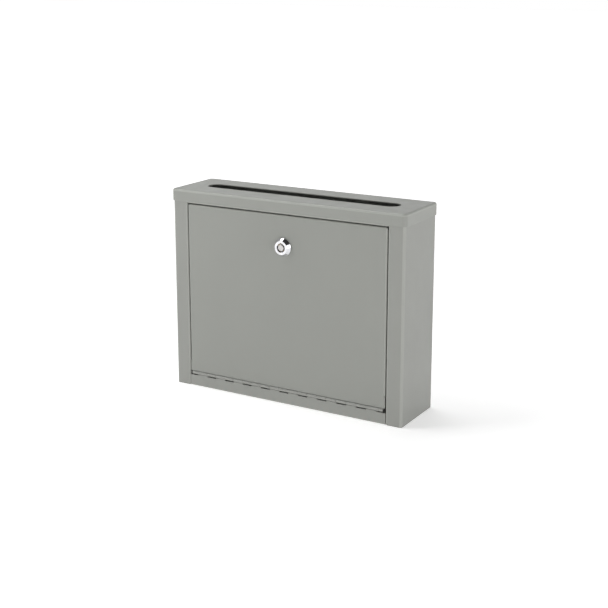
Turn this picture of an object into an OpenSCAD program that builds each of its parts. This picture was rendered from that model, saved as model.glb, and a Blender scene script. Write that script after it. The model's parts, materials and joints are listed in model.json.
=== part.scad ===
// Sheet-steel drop box with a letter slot in its cap, a drop-down front door on a
// continuous hinge, and a seven-pin tubular cam lock.
// Millimetres. +X to the right, -Y to the front, +Z up. The origin is at the middle of
// the base, halfway between the face of the lock and the back of the cap.

/* [Case] */
// Width of the case over its side walls
body_w = 305; // [220:1:460]
// Depth of the case over its front and back faces
body_d = 79.4; // [64:0.2:160]
// Height of the whole box, from the base to the top of the cap
box_h = 242; // [180:1:400]
// Thickness of the painted sheet
sheet = 1.2; // [0.9:0.05:1.6]
// Outside radius of the upright corners of the case
case_bend_r = 3; // [2.4:0.1:4]
// Outside radius of a tight fold in the sheet
fold_r = 1.8; // [1.7:0.05:2.4]
// Width of each front stile beside the door
stile_w = 20; // [12:0.5:40]
// Depth of the flange folded back from each stile
stile_return = 12; // [8:0.5:18]
// Gap at a butted seam between two welded sheets
seam = 0.2; // [0.1:0.05:0.4]

/* [Cap] */
// Height of the flange around the cap
cap_flange = 14.3; // [10:0.1:24]
// Gap between the cap's flange and the case
cap_clear = 0.3; // [0.2:0.05:0.6]
// Radius of the pressed edge around the top of the cap
cap_edge_r = 2.4; // [2.2:0.1:4]
// Length of the letter slot, over its round ends
slot_l = 254; // [150:1:270]
// Width of the letter slot
slot_w = 22; // [8:0.5:30]

/* [Base and header] */
// Height of the rail below the door
rail_h = 14.8; // [12:0.1:30]
// Depth of the notches in the rail's top edge, in front of the door's knuckles
rail_notch = 1.1; // [0.4:0.1:1.2]
// Height of the flanges folded up inside the case
pan_flange = 12; // [8:0.5:20]
// Height of the header that shows between the cap's flange and the door
header_show = 1.7; // [1:0.1:8]
// Depth of the header's upper flange, welded under the cap
header_flange = 12; // [8:0.5:18]
// How far the door stop hangs below the header
stop_drop = 6; // [4:0.5:12]

/* [Door] */
// Gap around the two sides and the top of the door
door_gap = 1.1; // [0.8:0.1:3]
// Depth of the flanges folded back from the door
door_flange = 11; // [8:0.5:16]
// Gap between the closed door's flange and the door stop
stop_gap = 0.3; // [0.3:0.05:1]

/* [Hinge] */
// Outside diameter of the hinge barrel
barrel_d = 3.6; // [3.4:0.1:6]
// Thickness of the hinge leaves
leaf_t = 0.8; // [0.7:0.05:1]
// Width of each leaf, from the hinge axis to its edge
leaf_w = 14; // [12:0.5:20]
// Pitch of the knuckles along the hinge
knuckle_pitch = 12.7; // [10:0.1:20]
// End gap between neighbouring knuckles
knuckle_gap = 0.35; // [0.3:0.05:0.8]
// Height of the barrel's underside above the rail
barrel_above_rail = 0.4; // [0.3:0.1:1]
// Gap between the barrel and the lower edge of the door
door_above_barrel = 0.3; // [0.3:0.1:2]
// How far the hinge stops short of the stiles at each end
hinge_short = 3.6; // [1:0.1:6]
// How far a leaf is cut back from the other leaf's knuckles
knuckle_relief = 1.7; // [0.4:0.1:1.7]
// Radial running clearance of the hinge pin
pin_clear = 0.05; // [0.02:0.01:0.1]

/* [Lock] */
// Depth of the lock's axis below the top edge of the door
lock_below_top = 36.9; // [30:0.1:60]
// How far the head stands out from the door
lock_head = 5.2; // [4:0.1:7]
// How far the head overlaps the door around the barrel
lock_rim = 1.5; // [1:0.1:4]
// Diameter of the flat ring around the keyway
lock_face_d = 16; // [14:0.1:18]
// Outside diameter of the ring-shaped keyway
keyway_d = 10.4; // [9.8:0.1:11]
// Diameter of the post in the middle of the keyway
post_d = 7.3; // [6.8:0.1:7.6]
// Diameter of the threaded barrel behind the door
lock_barrel_d = 19; // [18.4:0.1:24]
// Depth of each of the barrel's two flats
lock_flat_cut = 1.5; // [1:0.1:1.6]
// Length of the barrel behind the face of the door
lock_barrel_l = 12.6; // [11.5:0.1:20]
// Radial clearance between the lock's fitted pieces
lock_clear = 0.05; // [0.02:0.01:0.1]
// End gap between the lock's turning and still pieces
lock_end_gap = 0.3; // [0.3:0.05:0.5]
// Number of pins around the keyway
pin_count = 7; // [5:1:8]
// Diameter of the lock's pins
lock_pin_d = 1.4; // [1:0.1:1.5]
// Angle that the key turns
lock_travel = 90; // [90:1:90]
// Length of the cam from the lock's axis to its tip
cam_reach = 44; // [42:0.5:60]
// Width of the cam at its tip
cam_w = 14; // [10:0.5:18]
// Thickness of the cam
cam_t = 2; // [1.5:0.1:3]
// Wall of the lock nut at the middle of its flats
nut_wall = 2.4; // [1.6:0.1:4]
// Thickness of the lock nut
nut_t = 4; // [3:0.1:5]

/* [Wall holes] */
// Diameter of the four holes in the back
wall_hole_d = 6.4; // [4:0.1:10]
// Spacing of the holes across the back
wall_hole_x = 203.2; // [100:0.1:210]
// Spacing of the holes up the back
wall_hole_z = 152.4; // [80:0.1:160]

/* [Hidden] */
$fn = 48;
cut = 1; // how far a cutting shape runs past what it cuts

// case and cap
cap_over = cap_clear + sheet; // how far the cap stands out from the case
front_y = -(body_d + cap_over - lock_head) / 2;
back_y = front_y + body_d;
mid_y = (front_y + back_y) / 2;
cap_w = body_w + 2 * cap_over;
cap_d = body_d + 2 * cap_over;
cap_corner_r = case_bend_r + cap_over + 1.6 * cap_clear; // rounder than the case's corner, yet clear
cap_low_z = box_h - cap_flange;
cap_under_z = box_h - sheet;
case_top_z = box_h - cap_edge_r; // the walls end where the cap's pressed edge starts
open_half = body_w / 2 - stile_w;
infill_half = open_half - seam; // half width of the header and the rail
open_top_z = cap_low_z - header_show;

// hinge
barrel_r = barrel_d / 2;
axis_y = front_y + sheet + leaf_t - barrel_r; // the leaves lie behind the door and the rail
axis_z = rail_h + barrel_above_rail + barrel_r;
hinge_l = 2 * (open_half - hinge_short);
knuckle_bore_r = barrel_r - leaf_t;
pin_r = knuckle_bore_r - pin_clear;
roll_angle = 300; // how far each knuckle is rolled round the pin
knuckle_span = ceil(hinge_l / 2 / knuckle_pitch);
knuckle_min = 3; // a shorter piece at an end of the hinge is left off

// door
door_half = open_half - door_gap;
door_low_z = axis_z + barrel_r + door_above_barrel;
door_top_z = open_top_z - door_gap;
door_flange_low_z = axis_z + leaf_w + 2; // the side flanges start above the hinge leaf
stop_y = front_y + door_flange + stop_gap; // front of the door stop

// lock, as distances behind the front face of the door
lock_z = door_top_z - lock_below_top;
lock_head_d = lock_barrel_d + 2 * lock_rim;
lock_flats = lock_barrel_d - 2 * lock_flat_cut;
nut_af = lock_barrel_d + 2 * nut_wall;
keyway_r = keyway_d / 2;
post_r = post_d / 2;
barrel_bore_r = lock_flats / 2 - 1; // leaves 1 mm of wall at the flats
shoulder_at = 0.8; // end of the narrow front bore
plug_flange_at = shoulder_at + lock_end_gap;
plug_flange_t = 3.5;
plug_back_at = plug_flange_at + plug_flange_t;
bushing_at = plug_back_at + lock_end_gap;
bushing_l = lock_barrel_l - 1.1 - bushing_at;
shaft_r = 3;
lock_pin_r = lock_pin_d / 2;
pin_ring_r = (keyway_r + post_r) / 2;
driver_l = 2.5;
pin_hole_l = bushing_l - 0.6; // depth of each blind pin hole in the bushing
lug_h = 1.2;
washer_at = lock_barrel_l + lock_end_gap;
stop_washer_t = lug_h; // its tab meets the lug edge on
cam_at = washer_at + stop_washer_t;
cam_back_at = cam_at + cam_t;
tail_w = 5; // across the square tail
tail_short = 0.2; // the tail stops inside the cam, so that the screw clamps the cam
spring_washer_t = 0.8;
screw_r = 1.5;
screw_l = 7;
screw_head_r = 3.6;
screw_head_t = 2.2;
tooth_washer_t = 0.8;
cross_pin_r = 0.9;
cross_pin_at = bushing_at + bushing_l / 2;
cross_pin_foot = pin_ring_r + lock_pin_r + 0.5;
lug_in_r = barrel_bore_r + 0.1;
lug_out_r = lock_flats / 2 - 0.05;
tab_angle = 40;
lug_angle = 360 - lock_travel - tab_angle - 5; // 2.5 degrees to spare at each end of the travel

// ---- helpers ----

// A box from its lowest corner to its highest corner.
module block(low, high) {
    translate(low) cube(high - low);
}

// The same piece on the right and on the left.
module both_sides() {
    children();
    mirror([1, 0, 0]) children();
}

// A quarter-round bend in sheet, standing along +Z: from the direction start_angle, a
// quarter turn about the origin.
module bend(r, start_angle, h) {
    rotate([0, 0, start_angle])
        rotate_extrude(angle = 90)
            translate([r - sheet, 0]) square([sheet, h]);
}

// A bend lying along X, centred on x = 0, about the line through y and z.
module bend_along_x(y, z, r, start_angle, l) {
    translate([-l / 2, y, z]) rotate([90, 0, 90]) bend(r, start_angle, l);
}

// A bend lying along Y, from y0 to y1, about the line through x and z.
module bend_along_y(x, z, r, start_angle, y0, y1) {
    translate([x, y1, z]) rotate([90, 0, 0]) bend(r, start_angle, y1 - y0);
}

// Points along a quarter circle of radius r about c, from angle a0, counter-clockwise.
function quarter(c, r, a0, steps = 6) =
    [for (i = [0 : steps]) c + r * [cos(a0 + 90 * i / steps), sin(a0 + 90 * i / steps)]];

// Outline of a block of width w and height h with rounded upper corners.
function arch(w, h, r) = concat(
    [[-w / 2, 0], [w / 2, 0]],
    quarter([w / 2 - r, h - r], r, 0),
    quarter([-w / 2 + r, h - r], r, 90)
);

// A block with rounded upright corners and a rounded edge around its top.
module pressed_block(w, d, h, corner_r, edge_r) {
    rotate([90, 0, 90])
        translate([0, 0, -(w / 2 - corner_r)])
            linear_extrude(w - 2 * corner_r) polygon(arch(d, h, edge_r));
    rotate([90, 0, 0])
        translate([0, 0, -(d / 2 - corner_r)])
            linear_extrude(d - 2 * corner_r) polygon(arch(w, h, edge_r));
    for (i = [0 : 3]) {
        sx = (i == 0 || i == 3) ? 1 : -1;
        sy = (i < 2) ? 1 : -1;
        translate([sx * (w / 2 - corner_r), sy * (d / 2 - corner_r), 0])
            rotate([0, 0, 90 * i])
                rotate_extrude(angle = 90)
                    polygon(concat(
                        [[0, 0], [corner_r, 0]],
                        quarter([corner_r - edge_r, h - edge_r], edge_r, 0),
                        [[0, h]]
                    ));
    }
}

// Sets a piece that is drawn along +Z, with 12 o'clock at -Y, on the lock's axis.
module on_lock_axis() {
    translate([0, front_y, lock_z]) rotate([-90, 0, 0]) children();
}

// A cylinder on the lock's axis, from one distance behind the door's face to another.
module lock_round(r, from, to) {
    translate([0, 0, from]) cylinder(r = r, h = to - from);
}

// One child at each pin position around the keyway.
module at_pins() {
    for (i = [0 : pin_count - 1]) rotate([0, 0, 360 / pin_count * (i + 0.5) - 90])
        translate([pin_ring_r, 0, 0]) children();
}

// A ring sector between two radii, centred on the direction mid_angle.
module sector(r_in, r_out, angle, mid_angle, h) {
    rotate([0, 0, mid_angle - angle / 2])
        rotate_extrude(angle = angle)
            translate([r_in, 0]) square([r_out - r_in, h]);
}

// A coil spring of square wire: a square section carried up a helix, in flat triangles.
module coil(mean_r, wire, l, turns, steps = 7) {
    n = turns * steps;
    points = [for (i = [0 : n]) let (
        a = 360 * i / steps,
        z = wire / 2 + (l - wire) * i / n
    ) for (c = [[-1, -1], [1, -1], [1, 1], [-1, 1]])
        [(mean_r + c[0] * wire / 2) * cos(a), (mean_r + c[0] * wire / 2) * sin(a), z + c[1] * wire / 2]];
    walls = [for (i = [0 : n - 1], k = [0 : 3]) let (
        a = 4 * i + k,
        b = 4 * i + (k + 1) % 4
    ) for (t = [[a, a + 4, b], [b, a + 4, b + 4]]) t];
    last = 4 * n;
    ends = [[0, 1, 2], [0, 2, 3], [last + 2, last + 1, last], [last + 3, last + 2, last]];
    polyhedron(points, concat(ends, walls));
}

// ---- case ----

// The wrapped sheet: back, two sides and the two front stiles with their returns.
module case_shell() {
    wall_x = body_w / 2 - sheet;
    bend_x = body_w / 2 - case_bend_r;
    return_low = sheet + 0.3; // the pan's floor passes under the returns
    color([0.62, 0.62, 0.60]) difference() {
        union() {
            block([-bend_x, back_y - sheet, 0], [bend_x, back_y, case_top_z]);
            both_sides() {
                block([wall_x, front_y + case_bend_r, 0], [body_w / 2, back_y - case_bend_r, case_top_z]);
                translate([bend_x, back_y - case_bend_r, 0]) bend(case_bend_r, 0, case_top_z);
                translate([bend_x, front_y + case_bend_r, 0]) bend(case_bend_r, -90, case_top_z);
                block([open_half + fold_r, front_y, 0], [bend_x, front_y + sheet, case_top_z]);
                translate([open_half + fold_r, front_y + fold_r, return_low])
                    bend(fold_r, 180, case_top_z - return_low);
                block(
                    [open_half, front_y + fold_r, return_low],
                    [open_half + sheet, front_y + stile_return, case_top_z]
                );
            }
        }
        for (x = [-1, 1], z = [-1, 1])
            translate([x * wall_hole_x / 2, back_y + cut, box_h / 2 + z * wall_hole_z / 2])
                rotate([90, 0, 0]) cylinder(d = wall_hole_d, h = sheet + 2 * cut);
    }
}

// The floor, with flanges folded up inside the case and the rail folded up at the front.
module bottom_pan() {
    side_x = body_w / 2 - sheet - seam;
    rear_y = back_y - sheet - seam;
    corner = case_bend_r + 2; // how far the flanges stop short of the corners
    color([0.60, 0.60, 0.57]) {
        block([-side_x + fold_r, front_y + fold_r, 0], [side_x - fold_r, rear_y - fold_r, sheet]);
        bend_along_x(front_y + fold_r, fold_r, fold_r, 180, 2 * infill_half);
        difference() {
            block([-infill_half, front_y, fold_r], [infill_half, front_y + sheet, rail_h]);
            for (k = knuckles(0)) block(
                [notch_x(k)[0], front_y - cut, rail_h - rail_notch],
                [notch_x(k)[1], front_y + sheet + cut, rail_h + cut]
            );
        }
        bend_along_x(rear_y - fold_r, fold_r, fold_r, 270, 2 * (side_x - corner));
        block([-side_x + corner, rear_y - sheet, fold_r], [side_x - corner, rear_y, pan_flange]);
        both_sides() {
            bend_along_y(side_x - fold_r, fold_r, fold_r, 270, front_y + corner, rear_y - corner);
            block(
                [side_x - sheet, front_y + corner, fold_r],
                [side_x, rear_y - corner, pan_flange]
            );
        }
    }
}

// The pressed cap, with the letter slot.
module top_cap() {
    color([0.65, 0.66, 0.65]) difference() {
        translate([0, mid_y, cap_low_z])
            pressed_block(cap_w, cap_d, cap_flange, cap_corner_r, cap_edge_r);
        translate([0, mid_y, cap_low_z - cut])
            pressed_block(
                cap_w - 2 * sheet, cap_d - 2 * sheet, cap_flange - sheet + cut,
                cap_corner_r - sheet, cap_edge_r - sheet
            );
        block(
            [-(slot_l - slot_w) / 2, mid_y - slot_w / 2, cap_under_z - cut],
            [(slot_l - slot_w) / 2, mid_y + slot_w / 2, box_h + cut]
        );
        both_sides()
            translate([(slot_l - slot_w) / 2, mid_y, cap_under_z - cut])
                cylinder(d = slot_w, h = sheet + 2 * cut);
    }
}

// The header over the door: a flange under the cap, a face, and a lip that turns down
// behind the door as its stop.
module header_rail() {
    l = 2 * infill_half;
    face_low = open_top_z + fold_r;
    face_top = cap_under_z - fold_r;
    stop_bend_y = stop_y + sheet - fold_r;
    color([0.60, 0.60, 0.58]) {
        block(
            [-infill_half, front_y + fold_r, cap_under_z - sheet],
            [infill_half, front_y + header_flange, cap_under_z]
        );
        bend_along_x(front_y + fold_r, face_top, fold_r, 90, l);
        block([-infill_half, front_y, face_low], [infill_half, front_y + sheet, face_top]);
        bend_along_x(front_y + fold_r, face_low, fold_r, 180, l);
        block(
            [-infill_half, front_y + fold_r, open_top_z],
            [infill_half, stop_bend_y, open_top_z + sheet]
        );
        bend_along_x(stop_bend_y, open_top_z + sheet - fold_r, fold_r, 0, l);
        block(
            [-infill_half, stop_y, open_top_z - stop_drop],
            [infill_half, stop_y + sheet, open_top_z + sheet - fold_r]
        );
    }
}

// ---- door ----

// The door: a flat skin with flanges folded back at the top and, above the hinge leaf, at
// the sides.
module door_panel() {
    flange_y = front_y + door_flange;
    corner = fold_r + 1.5; // the flanges stop short of the upper corners
    color([0.62, 0.63, 0.61]) difference() {
        union() {
            block([-door_half, front_y, door_low_z], [door_half, front_y + sheet, door_flange_low_z]);
            block(
                [-door_half + fold_r, front_y, door_flange_low_z],
                [door_half - fold_r, front_y + sheet, door_top_z - fold_r]
            );
            bend_along_x(front_y + fold_r, door_top_z - fold_r, fold_r, 90, 2 * (door_half - fold_r));
            block(
                [-door_half + corner, front_y + fold_r, door_top_z - sheet],
                [door_half - corner, flange_y, door_top_z]
            );
            both_sides() {
                translate([door_half - fold_r, front_y + fold_r, door_flange_low_z])
                    bend(fold_r, 270, door_top_z - fold_r - door_flange_low_z);
                block(
                    [door_half - sheet, front_y + fold_r, door_flange_low_z],
                    [door_half, flange_y, door_top_z - corner]
                );
            }
        }
        on_lock_axis() intersection() {
            lock_round(lock_barrel_d / 2 + lock_clear, -cut, sheet + cut);
            cube([lock_flats + 2 * lock_clear, lock_barrel_d + 2, 4 * cut + 2 * sheet], center = true);
        }
    }
}

// ---- hinge ----

// First and last x of knuckle k, cut off at the ends of the hinge.
function knuckle_x(k) = [
    max(k * knuckle_pitch - (knuckle_pitch - knuckle_gap) / 2, -hinge_l / 2),
    min(k * knuckle_pitch + (knuckle_pitch - knuckle_gap) / 2, hinge_l / 2)
];

// Numbers of the knuckles that one leaf carries: even for the door's, odd for the case's.
function knuckles(parity) = [
    for (k = [-knuckle_span : knuckle_span])
        if (abs(k) % 2 == parity && knuckle_x(k)[1] - knuckle_x(k)[0] >= knuckle_min) k
];

// First and last x of the rail's notch at knuckle k; one at an end of the hinge runs out.
function notch_x(k) = [
    knuckle_x(k)[0] <= -hinge_l / 2 ? -infill_half - cut : knuckle_x(k)[0],
    knuckle_x(k)[1] >= hinge_l / 2 ? infill_half + cut : knuckle_x(k)[1]
];

// One leaf, drawn about the hinge axis and running up: a plate, and tabs rolled round the pin.
module hinge_leaf(parity) {
    plate_low = barrel_r + knuckle_relief;
    block([-hinge_l / 2, knuckle_bore_r, plate_low], [hinge_l / 2, barrel_r, leaf_w]);
    for (k = knuckles(parity)) {
        x = knuckle_x(k);
        block([x[0], knuckle_bore_r, 0], [x[1], barrel_r, plate_low]);
        translate([x[0], 0, 0]) rotate([90, 0, 90]) mirror([0, 1, 0])
            rotate_extrude(angle = roll_angle)
                translate([knuckle_bore_r, 0]) square([leaf_t, x[1] - x[0]]);
    }
}

module hinge_door_leaf() {
    color([0.58, 0.58, 0.56]) translate([0, axis_y, axis_z]) hinge_leaf(0);
}

module hinge_case_leaf() {
    color([0.56, 0.56, 0.54]) translate([0, axis_y, axis_z]) mirror([0, 0, 1]) hinge_leaf(1);
}

module hinge_pin() {
    color([0.55, 0.55, 0.56])
        translate([-hinge_l / 2, axis_y, axis_z]) rotate([0, 90, 0]) cylinder(r = pin_r, h = hinge_l);
}

// ---- lock ----

// The still outer body: tapered head, threaded barrel with two flats, and the stop lug.
module lock_housing() {
    head_r = lock_head_d / 2;
    face_r = lock_face_d / 2;
    barrel_r = lock_barrel_d / 2;
    notch_w = 1.8;
    color([0.80, 0.80, 0.82]) on_lock_axis() {
        difference() {
            rotate_extrude() polygon([
                [keyway_r, -lock_head],
                [face_r, -lock_head],
                [face_r + 0.6, -lock_head + 0.3],
                [head_r - 0.5, -1.4],
                [head_r, -0.9],
                [head_r, 0],
                [barrel_r, 0],
                [barrel_r, lock_barrel_l],
                [barrel_bore_r, lock_barrel_l],
                [barrel_bore_r, shoulder_at],
                [keyway_r, shoulder_at]
            ]);
            both_sides()
                block(
                    [lock_flats / 2, -barrel_r - cut, 0],
                    [barrel_r + cut, barrel_r + cut, lock_barrel_l + cut]
                );
            block(
                [-notch_w / 2, -keyway_r - 1.1, -lock_head - cut],
                [notch_w / 2, -keyway_r + cut, -lock_head + 2.5]
            );
            translate([0, 0, cross_pin_at]) rotate([90, 0, 0])
                cylinder(r = cross_pin_r + lock_clear, h = barrel_r + cut);
        }
        translate([0, 0, lock_barrel_l])
            sector(lug_in_r, lug_out_r, lug_angle, 180, lug_h);
    }
}

// The turning plug: keyway post, drilled flange, shaft and square tail.
module lock_plug() {
    color([0.72, 0.72, 0.74]) on_lock_axis() difference() {
        union() {
            lock_round(post_r, -lock_head + 0.2, plug_flange_at);
            lock_round(barrel_bore_r - lock_clear, plug_flange_at, plug_back_at);
            lock_round(shaft_r, plug_back_at, washer_at);
            block(
                [-tail_w / 2, -tail_w / 2, washer_at],
                [tail_w / 2, tail_w / 2, cam_back_at - tail_short]
            );
        }
        at_pins() lock_round(lock_pin_r + lock_clear, plug_flange_at - cut, plug_back_at + cut);
        lock_round(screw_r, cam_back_at + spring_washer_t - screw_l - 0.5, cam_back_at + cut);
    }
}

// The pins in the plug, which the key pushes.
module lock_key_pins() {
    color([0.78, 0.66, 0.36]) on_lock_axis() at_pins()
        lock_round(lock_pin_r, plug_flange_at, plug_back_at);
}

// The still block behind the plug, which holds the driver pins and their springs.
module lock_bushing() {
    color([0.76, 0.64, 0.34]) on_lock_axis() difference() {
        lock_round(barrel_bore_r - lock_clear, bushing_at, bushing_at + bushing_l);
        lock_round(shaft_r + lock_clear, bushing_at - cut, bushing_at + bushing_l + cut);
        at_pins() lock_round(lock_pin_r + lock_clear, bushing_at - cut, bushing_at + pin_hole_l);
        translate([0, -cross_pin_foot + lock_clear, cross_pin_at]) rotate([90, 0, 0])
            cylinder(r = cross_pin_r + lock_clear, h = barrel_bore_r);
    }
}

module lock_driver_pins() {
    color([0.74, 0.74, 0.75]) on_lock_axis() at_pins()
        lock_round(lock_pin_r, bushing_at, bushing_at + driver_l);
}

module lock_pin_springs() {
    wire = 0.24;
    color([0.70, 0.70, 0.72]) on_lock_axis() at_pins()
        translate([0, 0, bushing_at + driver_l])
            coil(lock_pin_r - wire / 2, wire, pin_hole_l - driver_l, 3);
}

// The cross pin that keeps the bushing in the barrel.
module lock_retaining_pin() {
    color([0.60, 0.60, 0.62]) on_lock_axis()
        translate([0, -cross_pin_foot, cross_pin_at]) rotate([90, 0, 0])
            cylinder(r = cross_pin_r, h = lock_barrel_d / 2 - 0.3 - cross_pin_foot);
}

module lock_nut() {
    color([0.76, 0.76, 0.76]) on_lock_axis() difference() {
        translate([0, 0, sheet + tooth_washer_t]) rotate([0, 0, 30])
            cylinder(d = nut_af / cos(30), h = nut_t, $fn = 6);
        lock_round(lock_barrel_d / 2 + lock_clear, sheet, sheet + tooth_washer_t + nut_t + cut);
    }
}

// The toothed washer under the nut.
module lock_tooth_washer() {
    teeth = 12;
    outer_r = nut_af / 2;
    color([0.66, 0.66, 0.66]) on_lock_axis() difference() {
        lock_round(outer_r, sheet, sheet + tooth_washer_t);
        lock_round(lock_barrel_d / 2 + lock_clear, sheet - cut, sheet + tooth_washer_t + cut);
        for (i = [0 : teeth - 1]) rotate([0, 0, 360 / teeth * i])
            block([outer_r - 0.9, -0.6, sheet - cut], [outer_r + cut, 0.6, sheet + tooth_washer_t + cut]);
    }
}

// The washer that turns with the plug, whose tab meets the housing's lug at each end.
module lock_stop_washer() {
    disc_r = barrel_bore_r - 0.2;
    color([0.68, 0.68, 0.66]) on_lock_axis() difference() {
        union() {
            lock_round(disc_r, washer_at, washer_at + stop_washer_t);
            translate([0, 0, washer_at])
                sector(disc_r - 1, lug_out_r, tab_angle, lock_travel / 2, stop_washer_t);
        }
        square_hole(washer_at, stop_washer_t);
    }
}

// The square hole of a piece that sits on the plug's tail.
module square_hole(from, t) {
    w = tail_w + 2 * lock_clear;
    block([-w / 2, -w / 2, from - cut], [w / 2, w / 2, from + t + cut]);
}

// The cam, turned aside so that the door opens.
module lock_cam() {
    hub_r = 8;
    tip_r = cam_w / 2;
    color([0.70, 0.70, 0.68]) on_lock_axis() difference() {
        union() {
            lock_round(hub_r, cam_at, cam_back_at);
            translate([0, 0, cam_at]) linear_extrude(cam_t)
                polygon([[0, -hub_r + 0.4], [cam_reach - 3, -tip_r], [cam_reach, -tip_r + 3],
                    [cam_reach, tip_r - 3], [cam_reach - 3, tip_r], [0, hub_r - 0.4]]);
        }
        square_hole(cam_at, cam_t);
    }
}

module cam_screw() {
    from = cam_back_at + spring_washer_t;
    color([0.74, 0.74, 0.72]) on_lock_axis() difference() {
        union() {
            lock_round(screw_r - lock_clear, from - screw_l, from + 0.1);
            translate([0, 0, from]) cylinder(r1 = screw_head_r, r2 = screw_head_r - 0.9, h = screw_head_t);
        }
        for (a = [0, 90]) rotate([0, 0, a])
            block([-2, -0.4, from + 0.9], [2, 0.4, from + screw_head_t + cut]);
    }
}

// The split washer under the screw's head.
module cam_spring_washer() {
    color([0.62, 0.62, 0.62]) on_lock_axis()
        translate([0, 0, cam_back_at])
            sector(screw_r + 0.2, screw_head_r, 348, 180, spring_washer_t);
}

case_shell();
bottom_pan();
top_cap();
header_rail();
door_panel();
hinge_door_leaf();
hinge_case_leaf();
hinge_pin();
lock_housing();
lock_plug();
lock_key_pins();
lock_bushing();
lock_driver_pins();
lock_pin_springs();
lock_retaining_pin();
lock_nut();
lock_tooth_washer();
lock_stop_washer();
lock_cam();
cam_screw();
cam_spring_washer();
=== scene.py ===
"""Looks for a sheet-steel drop box: its studio, camera, finishes and finished meshes.

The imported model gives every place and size. Each sub-assembly is a class that builds its
pieces as surfaces worked out with numpy, dresses them and hangs them on their body.
Lengths are in metres. +X is to the right, -Y to the front and +Z up.
"""

from __future__ import annotations

import json
import logging
import math
from dataclasses import dataclass, field
from enum import Enum

import bmesh
import bpy
import numpy as np
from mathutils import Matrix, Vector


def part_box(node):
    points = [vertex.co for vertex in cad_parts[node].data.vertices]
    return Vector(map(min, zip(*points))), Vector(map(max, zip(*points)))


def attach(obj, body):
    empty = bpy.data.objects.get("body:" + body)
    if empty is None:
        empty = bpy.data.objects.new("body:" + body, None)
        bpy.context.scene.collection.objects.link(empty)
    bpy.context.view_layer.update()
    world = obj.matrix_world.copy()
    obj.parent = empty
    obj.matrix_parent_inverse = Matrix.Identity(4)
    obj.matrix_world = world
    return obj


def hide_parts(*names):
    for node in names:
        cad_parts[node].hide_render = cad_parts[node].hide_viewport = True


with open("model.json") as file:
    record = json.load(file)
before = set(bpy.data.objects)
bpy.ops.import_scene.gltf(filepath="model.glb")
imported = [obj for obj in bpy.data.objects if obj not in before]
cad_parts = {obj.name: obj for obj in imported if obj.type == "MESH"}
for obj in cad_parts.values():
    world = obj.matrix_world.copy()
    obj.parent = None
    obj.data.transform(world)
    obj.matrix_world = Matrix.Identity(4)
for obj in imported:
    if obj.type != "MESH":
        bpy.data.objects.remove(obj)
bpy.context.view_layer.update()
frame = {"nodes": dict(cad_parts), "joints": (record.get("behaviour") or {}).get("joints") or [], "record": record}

LOG = logging.getLogger("drop_box")
MM = 0.001
Colour = tuple[float, float, float]
Socket = bpy.types.NodeSocket
Piece = bpy.types.Object

# Numbers nearer to each other than these count as the same.
TINY = 1e-7
HAIR = 1e-9
# A half width, in metres, that holds nothing in.
UNHELD = 1.0


# ---- node graphs and finishes ----


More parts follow.
